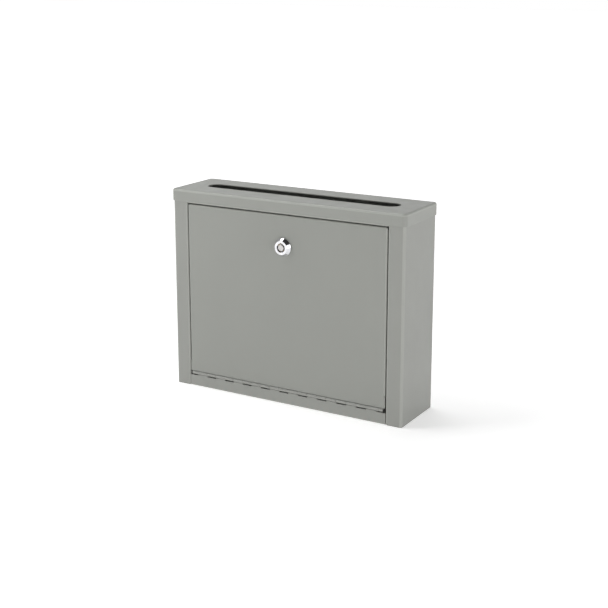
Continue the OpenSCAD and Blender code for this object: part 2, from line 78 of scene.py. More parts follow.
class Graph:
    """A material's node tree, with short calls for the nodes that the finishes use."""

    def __init__(self, name: str) -> None:
        """Makes the material with a Principled shader and nothing else.

        Args:
            name: the material's name.
        """
        self.material = bpy.data.materials.new(name)
        self.material.use_nodes = True
        self.tree = self.material.node_tree
        self.tree.nodes.clear()
        self.shader = self.node("ShaderNodeBsdfPrincipled")
        output = self.node("ShaderNodeOutputMaterial")
        self.link(self.shader.outputs["BSDF"], output.inputs["Surface"])
        self.place = self.node("ShaderNodeTexCoord").outputs["Object"]

    def node(self, kind: str, **settings: object) -> bpy.types.Node:
        """Adds a node.

        Args:
            kind: the node's type name.
            settings: attributes to set on the node.

        Returns:
            The new node.
        """
        made = self.tree.nodes.new(kind)
        for name, value in settings.items():
            setattr(made, name, value)
        return made

    def link(self, source: Socket, target: Socket) -> None:
        """Joins an output socket to an input socket."""
        self.tree.links.new(source, target)

    def fixed(self, **values: object) -> None:
        """Sets the shader's own sockets.

        Args:
            values: a number or colour for each socket, named in lower case with underscores.
        """
        for name, value in values.items():
            wanted = name.replace("_", " ")
            socket = next(s for s in self.shader.inputs if s.name.lower() == wanted)
            socket.default_value = value

    def stretched(self, scale: Colour, centre: Colour = (0, 0, 0)) -> Socket:
        """Object coordinates about a centre, scaled along each axis.

        Args:
            scale: the scale along X, Y and Z.
            centre: the point that becomes the pattern's origin.

        Returns:
            The mapped vector socket.
        """
        mapping = self.node("ShaderNodeMapping")
        mapping.inputs["Scale"].default_value = scale
        mapping.inputs["Location"].default_value = [-c * s for c, s in zip(centre, scale)]
        self.link(self.place, mapping.inputs["Vector"])
        return mapping.outputs["Vector"]

    def noise(
        self, scale: float, detail: float = 2.0, vector: Socket | None = None
    ) -> Socket:
        """A noise value around one half.

        Args:
            scale: cells per metre, or per unit of the vector.
            detail: octaves of finer noise.
            vector: coordinates, or the object's own if left out.

        Returns:
            The noise socket.
        """
        made = self.node("ShaderNodeTexNoise")
        made.inputs["Scale"].default_value = scale
        made.inputs["Detail"].default_value = detail
        self.link(vector or self.place, made.inputs["Vector"])
        return made.outputs["Fac"]

    def remap(
        self, value: Socket, low: float, high: float, start: float = 0.3, end: float = 0.7
    ) -> Socket:
        """Carries a value's range from start to end onto low to high, clamped.

        Args:
            value: the value's socket.
            low: what the start becomes.
            high: what the end becomes.
            start: where the value's range starts.
            end: where it ends.

        Returns:
            The carried value's socket.
        """
        made = self.node("ShaderNodeMapRange")
        self.link(value, made.inputs["Value"])
        for name, number in (("From Min", start), ("From Max", end), ("To Min", low), ("To Max", high)):
            made.inputs[name].default_value = number
        return made.outputs["Result"]

    def math(
        self, operation: str, a: Socket, b: Socket | float | None = None
    ) -> Socket:
        """One math node on one or two values.

        Args:
            operation: the math node's operation.
            a: the first value.
            b: the second value, a socket or a number.

        Returns:
            The result's socket.
        """
        made = self.node("ShaderNodeMath", operation=operation)
        self.link(a, made.inputs[0])
        if isinstance(b, (int, float)):
            made.inputs[1].default_value = b
        elif b is not None:
            self.link(b, made.inputs[1])
        return made.outputs["Value"]

    def hypot(self, a: Socket, b: Socket) -> Socket:
        """The length of a vector with two parts: the root of the sum of their squares."""
        squares = [self.math("MULTIPLY", part, part) for part in (a, b)]
        return self.math("SQRT", self.math("ADD", *squares))

    def blend(
        self, factor: Socket, first: Socket | Colour, second: Colour
    ) -> Socket:
        """Mixes two colours by a factor.

        Args:
            factor: 0 gives the first colour and 1 the second.
            first: a colour or a colour socket.
            second: a colour.

        Returns:
            The mixed colour's socket.
        """
        made = self.node("ShaderNodeMix", data_type="RGBA")
        self.link(factor, made.inputs["Factor"])
        if isinstance(first, tuple):
            made.inputs[6].default_value = (*first, 1)
        else:
            self.link(first, made.inputs[6])
        made.inputs[7].default_value = (*second, 1)
        return made.outputs[2]

    def bump(
        self, height: Socket, depth: float, strength: float = 1.0,
        under: Socket | None = None,
    ) -> Socket:
        """Adds relief to the surface.

        Args:
            height: the relief, from 0 to 1.
            depth: how deep 1 is.
            strength: how much of it shows.
            under: a normal that this relief is added to.

        Returns:
            The bumped normal's socket.
        """
        made = self.node("ShaderNodeBump")
        made.inputs["Strength"].default_value = strength
        made.inputs["Distance"].default_value = depth
        self.link(height, made.inputs["Height"])
        if under is not None:
            self.link(under, made.inputs["Normal"])
        return made.outputs["Normal"]

    def put(self, name: str, source: Socket) -> None:
        """Links a socket to one of the shader's inputs."""
        self.link(source, self.shader.inputs[name])


def shade(colour: Colour, factor: float) -> Colour:
    """A colour made lighter or darker by a factor."""
    return tuple(min(1.0, c * factor) for c in colour)


@dataclass(frozen=True)
class Enamel:
    """Baked enamel on sheet steel: satin, with a fine orange peel and a painted highlight on the folds.

    The orange peel is noise of about a millimetre, the tone drifts slowly over the panel, and
    the fold attribute of a mesh, 1 on a bend and 0 on a flat, paints a highlight there: the
    paint colour is made lighter where a bend would catch the light.
    """

    name: str
    colour: Colour
    roughness: float = 0.42
    peel_depth: float = 0.03 * MM
    weld_pitch: float = 0.0
    weld_rows: tuple[float, ...] = ()

    def material(self) -> bpy.types.Material:
        """Builds the finish.

        Returns:
            The material.
        """
        graph = Graph(self.name)
        drift = graph.remap(graph.noise(7.0, 3.0), 0.0, 1.0)
        tone = graph.blend(drift, shade(self.colour, 0.975), shade(self.colour, 1.025))
        fold = graph.node("ShaderNodeAttribute", attribute_name="fold").outputs["Fac"]
        # Painted highlight: the colour is lightened on the bends, as if they caught the light.
        tone = graph.blend(graph.math("MULTIPLY", fold, 0.5), tone, shade(self.colour, 1.5))
        speck = graph.remap(graph.noise(1500.0, 1.0), 0.0, 0.25, 0.62, 0.75)
        tone = graph.blend(speck, tone, shade(self.colour, 0.86))
        gloss = graph.remap(graph.noise(55.0, 4.0), self.roughness - 0.04, self.roughness + 0.05)
        relief = graph.bump(graph.noise(720.0, 2.0), self.peel_depth, 0.9)
        relief = graph.bump(graph.noise(2600.0, 1.0), self.peel_depth * 0.2, 0.6, relief)
        if self.weld_pitch:
            dent = self.welds(graph)
            relief = graph.bump(dent, -0.25 * MM, 1.0, relief)
            tone = graph.blend(graph.math("MULTIPLY", dent, 0.35), tone, shade(self.colour, 0.72))
        graph.put("Base Color", tone)
        graph.put("Roughness", gloss)
        graph.put("Normal", relief)
        graph.fixed(ior=1.5, coat_weight=0.12, coat_roughness=0.22)
        return graph.material

    def welds(self, graph: Graph) -> Socket:
        """Rows of shallow spot-weld marks along X.

        The distance to the nearest mark is the length of the vector from it, whose X part is
        x folded into half a pitch and whose Z part is the distance to the nearest row.

        Args:
            graph: the material's graph.

        Returns:
            A value that is 1 in a mark and 0 away from it.
        """
        split = graph.node("ShaderNodeSeparateXYZ")
        graph.link(graph.place, split.inputs["Vector"])
        along = graph.math("PINGPONG", split.outputs["X"], self.weld_pitch / 2)
        mark = None
        for row in self.weld_rows:
            across = graph.math("SUBTRACT", split.outputs["Z"], row)
            dent = graph.remap(graph.hypot(across, along), 1.0, 0.0, 1.9 * MM, 2.9 * MM)
            mark = dent if mark is None else graph.math("MAXIMUM", mark, dent)
        return mark


class Grain(Enum):
    """How a metal piece was worked, which sets the way its marks run."""

    TURNED = "turned"
    ROLLED = "rolled"


@dataclass(frozen=True)
class Metal:
    """Bare or plated metal: tool marks, uneven gloss and a slight stain."""

    name: str
    colour: Colour
    stain: Colour
    roughness: float
    grain: Grain
    centre: Colour = (0.0, 0.0, 0.0)
    mark_depth: float = 0.006 * MM

    def material(self) -> bpy.types.Material:
        """Builds the finish.

        Returns:
            The material.
        """
        graph = Graph(self.name)
        cloud = graph.remap(graph.noise(90.0, 4.0), 0.0, 1.0)
        tone = graph.blend(cloud, self.colour, self.stain)
        marks = self.marks(graph)
        gloss = graph.math(
            "ADD",
            graph.remap(graph.noise(260.0, 3.0), self.roughness * 0.8, self.roughness * 1.25),
            graph.math("MULTIPLY", marks, self.roughness * 0.25),
        )
        graph.put("Base Color", tone)
        graph.put("Roughness", gloss)
        graph.put("Normal", graph.bump(marks, self.mark_depth, 0.7))
        graph.fixed(metallic=1.0)
        return graph.material

    def marks(self, graph: Graph) -> Socket:
        """Tool marks: rings about the lock's axis, or streaks along the length.

        Args:
            graph: the material's graph.

        Returns:
            The marks' height, from 0 to 1.
        """
        if self.grain is Grain.TURNED:
            split = graph.node("ShaderNodeSeparateXYZ")
            graph.link(graph.stretched((1, 1, 1), self.centre), split.inputs["Vector"])
            radius = graph.hypot(split.outputs["X"], split.outputs["Z"])
            rings = graph.node("ShaderNodeCombineXYZ")
            graph.link(radius, rings.inputs["X"])
            graph.link(split.outputs["Y"], rings.inputs["Y"])
            return graph.noise(5200.0, 2.0, rings.outputs["Vector"])
        return graph.noise(160.0, 3.0, graph.stretched((14.0, 14.0, 1.0), self.centre))


# ---- surfaces ----


@dataclass(frozen=True)
class Bent:
    """A line of points in a plane, as a folded sheet's outer face runs.

    Attributes:
        points: the points, walked so that the outside is on the right.
        fold: for each point, 1 inside a bend and 0 on a straight stretch.
        along: for each point, its share of its straight stretch, or 0 inside a bend.
        reach: for each point, the length of its straight stretch, or 0 inside a bend.
        normal: for each point, the outward direction of its straight stretch.
    """

    points: np.ndarray
    fold: np.ndarray
    along: np.ndarray
    reach: np.ndarray
    normal: np.ndarray

    def marked(self, axis: int, values: tuple[float, ...]) -> Bent:
        """The same line with a point added where a coordinate passes each value.

        Args:
            axis: which of the two coordinates.
            values: the values, each on a straight stretch.

        Returns:
            The longer line.
        """
        parts = [self.points, self.fold, self.along, self.reach, self.normal]
        for value in values:
            place = parts[0][:, axis]
            spans = (place[:-1] - value) * (place[1:] - value) < 0
            for k in np.flatnonzero(spans)[::-1]:
                share = (value - place[k]) / (place[k + 1] - place[k])
                parts = [np.insert(p, k + 1, p[k] + share * (p[k + 1] - p[k]), axis=0) for p in parts]
        return Bent(*parts)


def stations(low: float, high: float, pitch: float = 9 * MM, lead: float = 0.7 * MM,
             marks: tuple[float, ...] = ()) -> np.ndarray:
    """Places from low to high: even steps, the marks, and one a short lead in from each end.

    Args:
        low: the first place.
        high: the last place.
        pitch: the longest step.
        lead: the distance of the extra places from the ends; even steps nearer than this
            to a fixed place are left out.
        marks: places that must be there.

    Returns:
        The places in order.
    """
    even = np.linspace(low, high, max(2, math.ceil((high - low) / pitch) + 1))
    fixed = np.array([low, low + lead, high - lead, high, *marks])
    clear = np.abs(even[:, None] - fixed).min(axis=1) > lead
    return np.unique(np.concatenate([even[clear], fixed]))


def folded_line(corners: list[tuple[float, float]], radii: list[float], pitch: float = 9 * MM,
                lead: float = 0.7 * MM, arc_steps: int = 8) -> Bent:
    """A line that turns through an arc at each inner corner.

    An arc of radius r that turns by t starts r*tan(t/2) before its corner and ends as far
    after it; its centre lies r/cos(t/2) from the corner along the bisector.

    Args:
        corners: the two ends and the corners between them.
        radii: the radius at each inner corner.
        pitch: the longest step along a straight stretch.
        lead: the distance from a stretch's ends of one more point.
        arc_steps: steps in each arc.

    Returns:
        The line.
    """
    nodes = np.array(corners, float)
    starts, ends, arcs = [nodes[0]], [], []
    for before, corner, after, radius in zip(nodes[:-2], nodes[1:-1], nodes[2:], radii):
        a = (before - corner) / np.linalg.norm(before - corner)
        b = (after - corner) / np.linalg.norm(after - corner)
        turn = math.pi - math.acos(float(np.clip(a @ b, -1, 1)))
        cut = radius * math.tan(turn / 2)
        centre = corner + (a + b) / np.linalg.norm(a + b) * radius / math.cos(turn / 2)
        spoke = (corner + a * cut - centre) / radius
        angles = np.linspace(0, turn, arc_steps + 1)[1:-1, None]
        arcs.append(centre + radius * (np.cos(angles) * spoke - np.sin(angles) * a))
        ends.append(corner + a * cut)
        starts.append(corner + b * cut)
    ends.append(nodes[-1])
    rows = []
    for k, (start, end) in enumerate(zip(starts, ends)):
        length = float(np.linalg.norm(end - start))
        way = (end - start) / length
        near = min(lead, length / 4)
        s = stations(0, length, pitch, near)[:, None]
        spread = np.ones_like(s)
        rows.append(np.hstack([
            start + s * way, 0 * s, s / length, length * spread, spread * way[1], -spread * way[0]
        ]))
        if k < len(arcs):
            empty = np.zeros((len(arcs[k]), 5))
            empty[:, 0] = 1
            rows.append(np.hstack([arcs[k], empty]))
    table = np.vstack(rows)
    return Bent(table[:, :2], table[:, 2], table[:, 3], table[:, 4], table[:, 5:])


def dip(u: np.ndarray, v: np.ndarray, depth: float, phase: float) -> np.ndarray:
    """The slight unevenness of a flat panel: three slow waves that fade out at its borders
    and only ever go inwards.

    Args:
        u: place across the panel, from 0 to 1.
        v: place up the panel, from 0 to 1.
        depth: the deepest that the waves go.
        phase: shifts the waves, so that no two panels match.

    Returns:
        The depth at each place, from 0 to the given depth.
    """
    window = np.sqrt(np.clip(np.sin(np.pi * u) * np.sin(np.pi * v), 0, 1))
    waves = (
        np.sin(2 * np.pi * (1.3 * u + 0.4 * v) + phase)
        + 0.6 * np.sin(2 * np.pi * (0.7 * u - 1.7 * v) + 2.1 * phase)
        + 0.4 * np.sin(2 * np.pi * (2.9 * u + 2.3 * v) + 3.7 * phase)
    )
    return depth * window * (0.5 + waves / 4)


def grid_faces(rows: int, cols: int, wrap_rows: bool = False, wrap_cols: bool = False) -> np.ndarray:
    """The four corner numbers of every cell in a grid of points.

    Args:
        rows: rows of points.
        cols: points in each row.
        wrap_rows: whether the last row joins the first.
        wrap_cols: whether the last column joins the first.

    Returns:
        An array of shape (rows of cells, columns of cells, 4).
    """
    index = np.arange(rows * cols).reshape(rows, cols)
    if wrap_rows:
        index = np.vstack([index, index[:1]])
    if wrap_cols:
        index = np.hstack([index, index[:, :1]])
    return np.stack([index[:-1, :-1], index[1:, :-1], index[1:, 1:], index[:-1, 1:]], axis=-1)


def middles(values: np.ndarray) -> np.ndarray:
    """The places midway between neighbours."""
    return (values[1:] + values[:-1]) / 2


def within(places: np.ndarray, spans: np.ndarray) -> np.ndarray:
    """Whether each place lies inside any of the spans."""
    return ((places[..., None] > spans[:, 0]) & (places[..., None] < spans[:, 1])).any(axis=-1)


def placed(name: str, data: bpy.types.ID) -> Piece:
    """Makes an object of some data and links it to the scene.

    Args:
        name: the object's name.
        data: its mesh, camera or light.

    Returns:
        The object.
    """
    piece = bpy.data.objects.new(name, data)
    bpy.context.scene.collection.objects.link(piece)
    return piece


def outwardness(points: np.ndarray, faces: np.ndarray) -> float:
    """How far a surface faces away from its own middle.

    It is the sum over the faces of the area normal times the way from the middle to the face.

    Args:
        points: the points.
        faces: the corner numbers of each face.

    Returns:
        The sum, which is negative for a surface that is inside out.
    """
    a, b, c, d = (points[faces[:, i]] for i in range(4))
    normal = np.cross(c - a, d - b) / 2
    middle = (a + b + c + d) / 4
    return float(np.einsum("ij,ij->i", normal, middle - middle.mean(0)).sum())


def mesh_piece(name: str, points: np.ndarray, faces: np.ndarray,
               fold: np.ndarray | None = None) -> Piece:
    """Makes an object from points and four-cornered faces, turned to face outwards.

    Args:
        name: the object's name.
        points: an array of points, of any shape that ends in 3.
        faces: an array of corner numbers, of any shape that ends in 4.
        fold: for each point, 1 on a bend and 0 on a flat.

    Returns:
        The object, linked to the scene.
    """
    flat, cells = points.reshape(-1, 3), faces.reshape(-1, 4)
    used, renumbered = np.unique(cells, return_inverse=True)
    flat, cells = flat[used], renumbered.reshape(cells.shape)
    if outwardness(flat, cells) < 0:
        cells = cells[:, ::-1]
    mesh = bpy.data.meshes.new(name)
    mesh.from_pydata(flat.tolist(), [], cells.tolist())
    # The fold attribute is what the enamel lightens into a painted highlight on the bends.
    if fold is not None:
        layer = mesh.attributes.new("fold", "FLOAT", "POINT")
        layer.data.foreach_set("value", fold.reshape(-1)[used].astype(np.float32))
    mesh.shade_smooth()
    return placed(name, mesh)


def settle(piece: Piece) -> Piece:
    """Replaces a piece's mesh by the result of its modifiers.

    Args:
        piece: the piece.

    Returns:
        The same piece.
    """
    before = piece.data
    graph = bpy.context.evaluated_depsgraph_get()
    after = bpy.data.meshes.new_from_object(piece.evaluated_get(graph))
    piece.modifiers.clear()
    piece.data = after
    bpy.data.meshes.remove(before)
    after.name = piece.name
    return piece


def close_up(piece: Piece, merge: float = 0.002 * MM) -> Piece:
    """Merges a closed surface's seams and poles and turns its faces outwards.

    Args:
        piece: the piece.
        merge: points closer than this become one.

    Returns:
        The same piece.
    """
    work = bmesh.new()
    work.from_mesh(piece.data)
    bmesh.ops.remove_doubles(work, verts=work.verts, dist=merge)
    bmesh.ops.dissolve_degenerate(work, dist=merge / 2, edges=work.edges)
    bmesh.ops.recalc_face_normals(work, faces=work.faces)
    work.to_mesh(piece.data)
    work.free()
    return piece


def carve(piece: Piece, tool: Piece, operation: str = "DIFFERENCE") -> Piece:
    """Cuts a closed tool out of a closed piece, or joins it on, and removes the tool.

    Args:
        piece: the piece.
        tool: the other solid.
        operation: the Boolean modifier's operation.

    Returns:
        The same piece.
    """
    cut = piece.modifiers.new("cut", "BOOLEAN")
    cut.operation, cut.solver, cut.object = operation, "EXACT", tool
    settle(piece)
    bpy.data.objects.remove(tool)
    return piece


def even_shading(piece: Piece, crease_deg: float = 50.0) -> Piece:
    """Shades flats flat and bends smooth, with a crease where faces meet more sharply.

    Args:
        piece: the piece.
        crease_deg: the angle past which an edge stays a crease.

    Returns:
        The same piece.
    """
    piece.data.shade_smooth()
    piece.data.set_sharp_from_angle(angle=math.radians(crease_deg))
    weighted = piece.modifiers.new("even_shading", "WEIGHTED_NORMAL")
    weighted.weight, weighted.keep_sharp = 60, True
    return settle(piece)


def sheet_piece(name: str, points: np.ndarray, keep: np.ndarray, fold: np.ndarray, thickness: float,
                wrap_rows: bool = False, edge: float = 0.22 * MM) -> Piece:
    """Makes a folded sheet from its outer face.

    Args:
        name: the piece's name.
        points: the outer face as a grid of points.
        keep: which cells of the grid are metal.
        fold: for each point, 1 on a bend and 0 on a flat.
        thickness: of the sheet, which grows inwards.
        wrap_rows: whether the last row of points joins the first.
        edge: width of the softened cut edges.

    Returns:
        The finished piece.
    """
    cells = grid_faces(*points.shape[:2], wrap_rows=wrap_rows)
    piece = mesh_piece(name, points, cells[keep], fold)
    wall = piece.modifiers.new("sheet", "SOLIDIFY")
    wall.thickness, wall.offset, wall.use_even_offset = thickness, -1.0, True
    soft = piece.modifiers.new("soft_edges", "BEVEL")
    soft.width, soft.segments, soft.use_clamp_overlap = edge, 2, False
    soft.limit_method, soft.angle_limit = "ANGLE", math.radians(50)
    return settle(piece)


def extruded(line: Bent, places: np.ndarray, order: tuple[int, int, int], depth: float = 0.0,
             phase: float = 0.0) -> tuple[np.ndarray, np.ndarray]:
    """Carries a line along a straight way: point (i, j) is the line's point i at place j,
    moved in by the dip of the flat that it lies on where that flat is a wide one.

    Args:
        line: the line.
        places: places along the third axis.
        order: which axes hold the line's two coordinates and the places.
        depth: the deepest dip of a flat 300 mm wide.
        phase: shifts the waves.

    Returns:
        The grid of points, and for each its fold value.
    """
    v = (places - places[0]) / (places[-1] - places[0])
    size = depth * np.where(line.reach > 50 * MM, line.reach / (300 * MM), 0)
    turn = phase + 20 * line.reach
    inward = dip(line.along[:, None], v[None, :], 1.0, 0.0) * size[:, None]
    inward *= 0.7 + 0.3 * np.sin(9 * v[None, :] + turn[:, None])
    made = np.empty((len(line.points), len(places), 3))
    made[..., order[0]] = line.points[:, :1] - inward * line.normal[:, :1]
    made[..., order[1]] = line.points[:, 1:] - inward * line.normal[:, 1:]
    made[..., order[2]] = places
    return made, np.repeat(line.fold[:, None], len(places), axis=1)


def turned(name: str, profile: np.ndarray, axis: tuple[float, float], angles: np.ndarray,
           limit_x: np.ndarray | None = None, limit_z: np.ndarray | None = None,
           swell: np.ndarray | float = 0.0, ring: bool = True) -> Piece:
    """Turns a profile about an axis along Y.

    Point (i, j) lies at the profile's radius j plus the swell, at angle i from +X towards
    +Z, and at the profile's depth j. It is then held within the limits across X and Z, which
    gives flats and squares.

    Args:
        name: the piece's name.
        profile: radius and y of each point; it ends on the axis or, as a ring, closes.
        axis: x and z of the axis.
        angles: the angles, once round.
        limit_x: half the width that each profile point is held within, along X.
        limit_z: the same along Z.
        swell: added to the radius, for each angle and profile point.
        ring: whether the profile's last point joins its first.

    Returns:
        The closed piece.
    """
    radius = profile[None, :, 0] + swell
    across = radius * np.cos(angles)[:, None]
    up = radius * np.sin(angles)[:, None]
    if limit_x is not None:
        across = np.clip(across, -limit_x, limit_x)
    if limit_z is not None:
        up = np.clip(up, -limit_z, limit_z)
    depth = np.broadcast_to(profile[None, :, 1], across.shape)
    points = np.stack([axis[0] + across, depth, axis[1] + up], axis=-1)
    cells = grid_faces(*across.shape, wrap_rows=True, wrap_cols=ring)
    return close_up(mesh_piece(name, points, cells))


def round_angles(count: int, marks: np.ndarray | None = None) -> np.ndarray:
    """Angles once round, evenly spaced, with marks added in order.

    Args:
        count: the even steps.
        marks: more angles, in radians.

    Returns:
        The angles from 0 up to, and without, a full turn.
    """
    even = np.arange(count) * 2 * np.pi / count
    if marks is None:
        return even
    return np.unique(np.round(np.concatenate([even, np.mod(marks, 2 * np.pi)]), 9))


def plate(name: str, outer: np.ndarray, inner: np.ndarray, front: np.ndarray | float,
          back: np.ndarray | float, edge: float) -> Piece:
    """A flat piece with a hole, from matched loops around its outside and its hole.

    The section at each loop point is a rectangle between the two loops with its four
    corners cut by the edge width.

    Args:
        name: the piece's name.
        outer: x and z around the outside.
        inner: x and z around the hole, as many.
        front: y of the front face, one number or one for each loop point.
        back: y of the back face.
        edge: width of the cut corners.

    Returns:
        The closed piece.
    """
    way = outer - inner
    way /= np.linalg.norm(way, axis=1, keepdims=True)
    front, back = np.broadcast_to(front, len(outer)), np.broadcast_to(back, len(outer))
    places = [
        (outer - edge * way, front), (outer, front + edge),
        (outer, back - edge), (outer - edge * way, back),
        (inner + edge * way, back), (inner, back - edge),
        (inner, front + edge), (inner + edge * way, front),
    ]
    points = np.stack([np.stack([p[:, 0], y, p[:, 1]], axis=-1) for p, y in places], axis=1)
    cells = grid_faces(len(outer), len(places), wrap_rows=True, wrap_cols=True)
    return close_up(mesh_piece(name, points, cells))


def rods(name: str, centres: np.ndarray, radius: float, low: float, high: float, flare: float = 0.0,
         thickness: float = 0.0, sides: int = 48) -> Piece:
    """Round bars along Y as one tool, which may widen where they leave a sheet.

    Args:
        name: the tool's name.
        centres: x and z of each bar.
        radius: of the bars.
        low: y where the bars start.
        high: y where the bars end.
        flare: how far the radius grows over the last part on both sides of the sheet.
        thickness: of the sheet, centred between low and high.
        sides: sides of each bar.

    Returns:
        The tool.
    """
    middle = (low + high) / 2
    half = thickness / 2
    y = np.array([low, middle - half - flare, middle - half + flare, middle + half - flare,
                  middle + half + flare, high]) if flare else np.array([low, high])
    r = radius + np.array([2, 2, 0, 0, 2, 2]) * flare if flare else np.array([radius, radius])
    y = np.concatenate([y[:1], y, y[-1:]])
    r = np.concatenate([[0], r, [0]])
    angles = round_angles(sides)
    ring = np.stack([
        r * np.cos(angles)[:, None], np.broadcast_to(y, (sides, len(y))), r * np.sin(angles)[:, None]
    ], axis=-1)
    shift = np.stack([centres[:, 0], 0 * centres[:, 0], centres[:, 1]], axis=-1)
    points = ring[None] + shift[:, None, None]
    cells = grid_faces(sides, len(y), wrap_rows=True).reshape(1, -1, 4)
    cells = cells + (np.arange(len(centres)) * sides * len(y))[:, None, None]
    return close_up(mesh_piece(name, points, cells))


# ---- sub-assemblies ----


class Slot(Enum):
    """The record's material slots."""

    CASE = "case_paint"
    CAP = "cap_paint"
    DOOR = "door_paint"
    HINGE = "hinge_paint"
    CHROME = "lock_chrome"
    STEEL = "lock_steel"
    BRASS = "lock_brass"
    ZINC = "plated_steel"


class Workshop:
    """The finishes, and how a finished piece is dressed and hung on its body."""

    def __init__(self, finishes: dict[Slot, Enamel | Metal]) -> None:
        """Builds every finish's material.

        Args:
            finishes: the finish of each slot.
        """
        self.materials = {slot: finish.material() for slot, finish in finishes.items()}
        bodies = frame["record"]["behaviour"]["bodies"]
        self.body = {node: body for body, nodes in bodies.items() for node in nodes}
        self.slot = {part["node"]: Slot(part["material_slot"]) for part in frame["record"]["subparts"]}

    def hang(self, piece: Piece, node: str) -> None:
        """Dresses a finished piece and lets it stand for a node, on the node's body.

        Args:
            piece: the finished piece.
            node: the node that it replaces.
        """
        slot = self.slot[node]
        piece.data.materials.clear()
        piece.data.materials.append(self.materials[slot])
        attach(piece, self.body[node])
        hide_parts(node)
        faces = len(piece.data.polygons)
        LOG.info("%s stands for %s on %s: %d faces", piece.name, node, self.body[node], faces)

    def dress(self, node: str) -> None:
        """Gives a node that stays its finish.

        Args:
            node: the node.
        """
        kept = frame["nodes"][node]
        if not kept.material_slots:
            kept.data.materials.append(None)
        for place in kept.material_slots:
            place.material = self.materials[self.slot[node]]
        LOG.info("%s keeps its shape", node)


@dataclass
class Case:
    """The wrapped case, the floor pan with its rail, and the header with the door stop."""

    sheet: float = 1.2 * MM
    corner_bend: float = 3.0 * MM
    fold_bend: float = 1.8 * MM
    seam: float = 0.2 * MM
    stile_return: float = 12.0 * MM
    pan_flange: float = 12.0 * MM
    header_flange: float = 12.0 * MM
    stop_drop: float = 6.0 * MM
    wall_hole_radius: float = 3.2 * MM
    flange_relief: float = 5.0 * MM
    rail_notch: float = 1.1 * MM
    unevenness: float = 0.16 * MM

    def build(self, shop: Workshop) -> None:
        """Builds and hangs the three pieces.

        Args:
            shop: the finishes.
        """
        shop.hang(self.wrap(), "case_shell")
        shop.hang(self.pan(), "bottom_pan")
        shop.hang(self.header(), "header_rail")

    def wrap(self) -> Piece:
        """The back, sides and stiles: one line in plan, carried up, with four holes in the back.

        Returns:
            The piece.
        """
        low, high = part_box("case_shell")
        door_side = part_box("header_rail")[1].x + self.seam
        inner_y = low.y + self.stile_return
        corners = [
            (door_side, inner_y), (door_side, low.y), (high.x, low.y), (high.x, high.y),
            (low.x, high.y), (low.x, low.y), (-door_side, low.y), (-door_side, inner_y),
        ]
        radii = [self.fold_bend, *[self.corner_bend] * 4, self.fold_bend]
        line = folded_line(corners, radii)
        return_low = self.sheet + 0.3 * MM
        heights = stations(low.z, high.z, marks=(return_low,))
        points, fold = extruded(line, heights, (0, 1, 2), self.unevenness, 0.4)
        middle = middles(line.points)
        in_return = np.abs(middle[:, 0]) < door_side + self.fold_bend - 0.001 * MM
        in_return &= middle[:, 1] < (low.y + high.y) / 2
        keep = ~in_return[:, None] | (heights[:-1] >= return_low - 0.001 * MM)[None, :]
        piece = sheet_piece("painted_case", points, keep, fold, self.sheet)
        carve(piece, self.hole_tool(high.y))
        return even_shading(piece)

    def hole_tool(self, back: float) -> Piece:
        """The tool that cuts the wall holes, spaced as their mount says.

        Args:
            back: y of the back face.

        Returns:
            The tool.
        """
        mount = next(m for m in frame["record"]["mounts"] if m["kind"] == "bolt_pattern")
        half_x = mount["dims"]["spacing_x_mm"] * MM / 2
        half_z = mount["dims"]["spacing_y_mm"] * MM / 2
        z = mount["pos_m"][2]
        centres = np.array([(x, z + s) for x in (-half_x, half_x) for s in (-half_z, half_z)])
        middle = back - self.sheet / 2
        reach = 4 * MM
        return rods("hole_tool", centres, self.wall_hole_radius, middle - reach, middle + reach,
                    0.12 * MM, self.sheet)

    def pan(self) -> Piece:
        """The floor: a blank with a flange on each side, and the rail folded up at the front.

        The rail's top edge is notched in front of the door's knuckles.

        Returns:
            The piece.
        """
        low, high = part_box("bottom_pan")
        rail_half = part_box("header_rail")[1].x
        flange_x = high.x - self.flange_relief
        flange_y = (low.y + self.flange_relief, high.y - self.flange_relief)
        bends = [self.fold_bend] * 2
        notches = self.notches(rail_half)
        notch_z = high.z - self.rail_notch
        across = folded_line(
            [(low.x, self.pan_flange), (low.x, 0), (high.x, 0), (high.x, self.pan_flange)], bends,
            pitch=high.x - low.x,
        ).marked(0, (-flange_x, -rail_half, rail_half, flange_x, *notches.ravel()))
        along = folded_line(
            [(low.y, high.z), (low.y, 0), (high.y, 0), (high.y, self.pan_flange)], bends,
            lead=self.rail_notch / 2,
        ).marked(0, flange_y).marked(1, (notch_z,))
        points, fold, x, y, up_x, up_y = tray(across, along, (0, 1, 2))
        front = y < (low.y + high.y) / 2
        keep = ~up_x & ~up_y
        keep |= up_x & ~up_y & (y > flange_y[0]) & (y < flange_y[1])
        keep |= up_y & ~up_x & (np.abs(x) < np.where(front, rail_half, flange_x))
        z = middles(along.points[:, 1])
        keep &= ~(front & within(x, notches) & (z > notch_z)[None, :])
        return even_shading(sheet_piece("painted_pan", points, keep, fold, self.sheet))

    def notches(self, rail_half: float) -> np.ndarray:
        """First and last x of each notch in the rail, which follow the door's knuckles.

        Args:
            rail_half: half the rail's length, which the notches at its ends run past.

        Returns:
            One row for each notch.
        """
        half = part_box("hinge_pin")[1].x
        spans = Hinge().tabs(0, half)
        return np.where(np.abs(spans) > half - TINY, np.sign(spans) * (rail_half + 1 * MM), spans)

    def header(self) -> Piece:
        """The header: a line in side view, from the flange under the cap to the door stop.

        Returns:
            The piece.
        """
        low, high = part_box("header_rail")
        face_low = low.z + self.stop_drop
        stop_y = high.y - self.sheet
        line = folded_line(
            [(low.y + self.header_flange, high.z), (low.y, high.z), (low.y, face_low),
             (stop_y, face_low), (stop_y, low.z)],
            [self.fold_bend, self.fold_bend, self.fold_bend - self.sheet],
        )
        points, fold = extruded(line, stations(low.x, high.x), (1, 2, 0))
        keep = np.ones((points.shape[0] - 1, points.shape[1] - 1), bool)
        return even_shading(sheet_piece("painted_header", points, keep, fold, self.sheet))


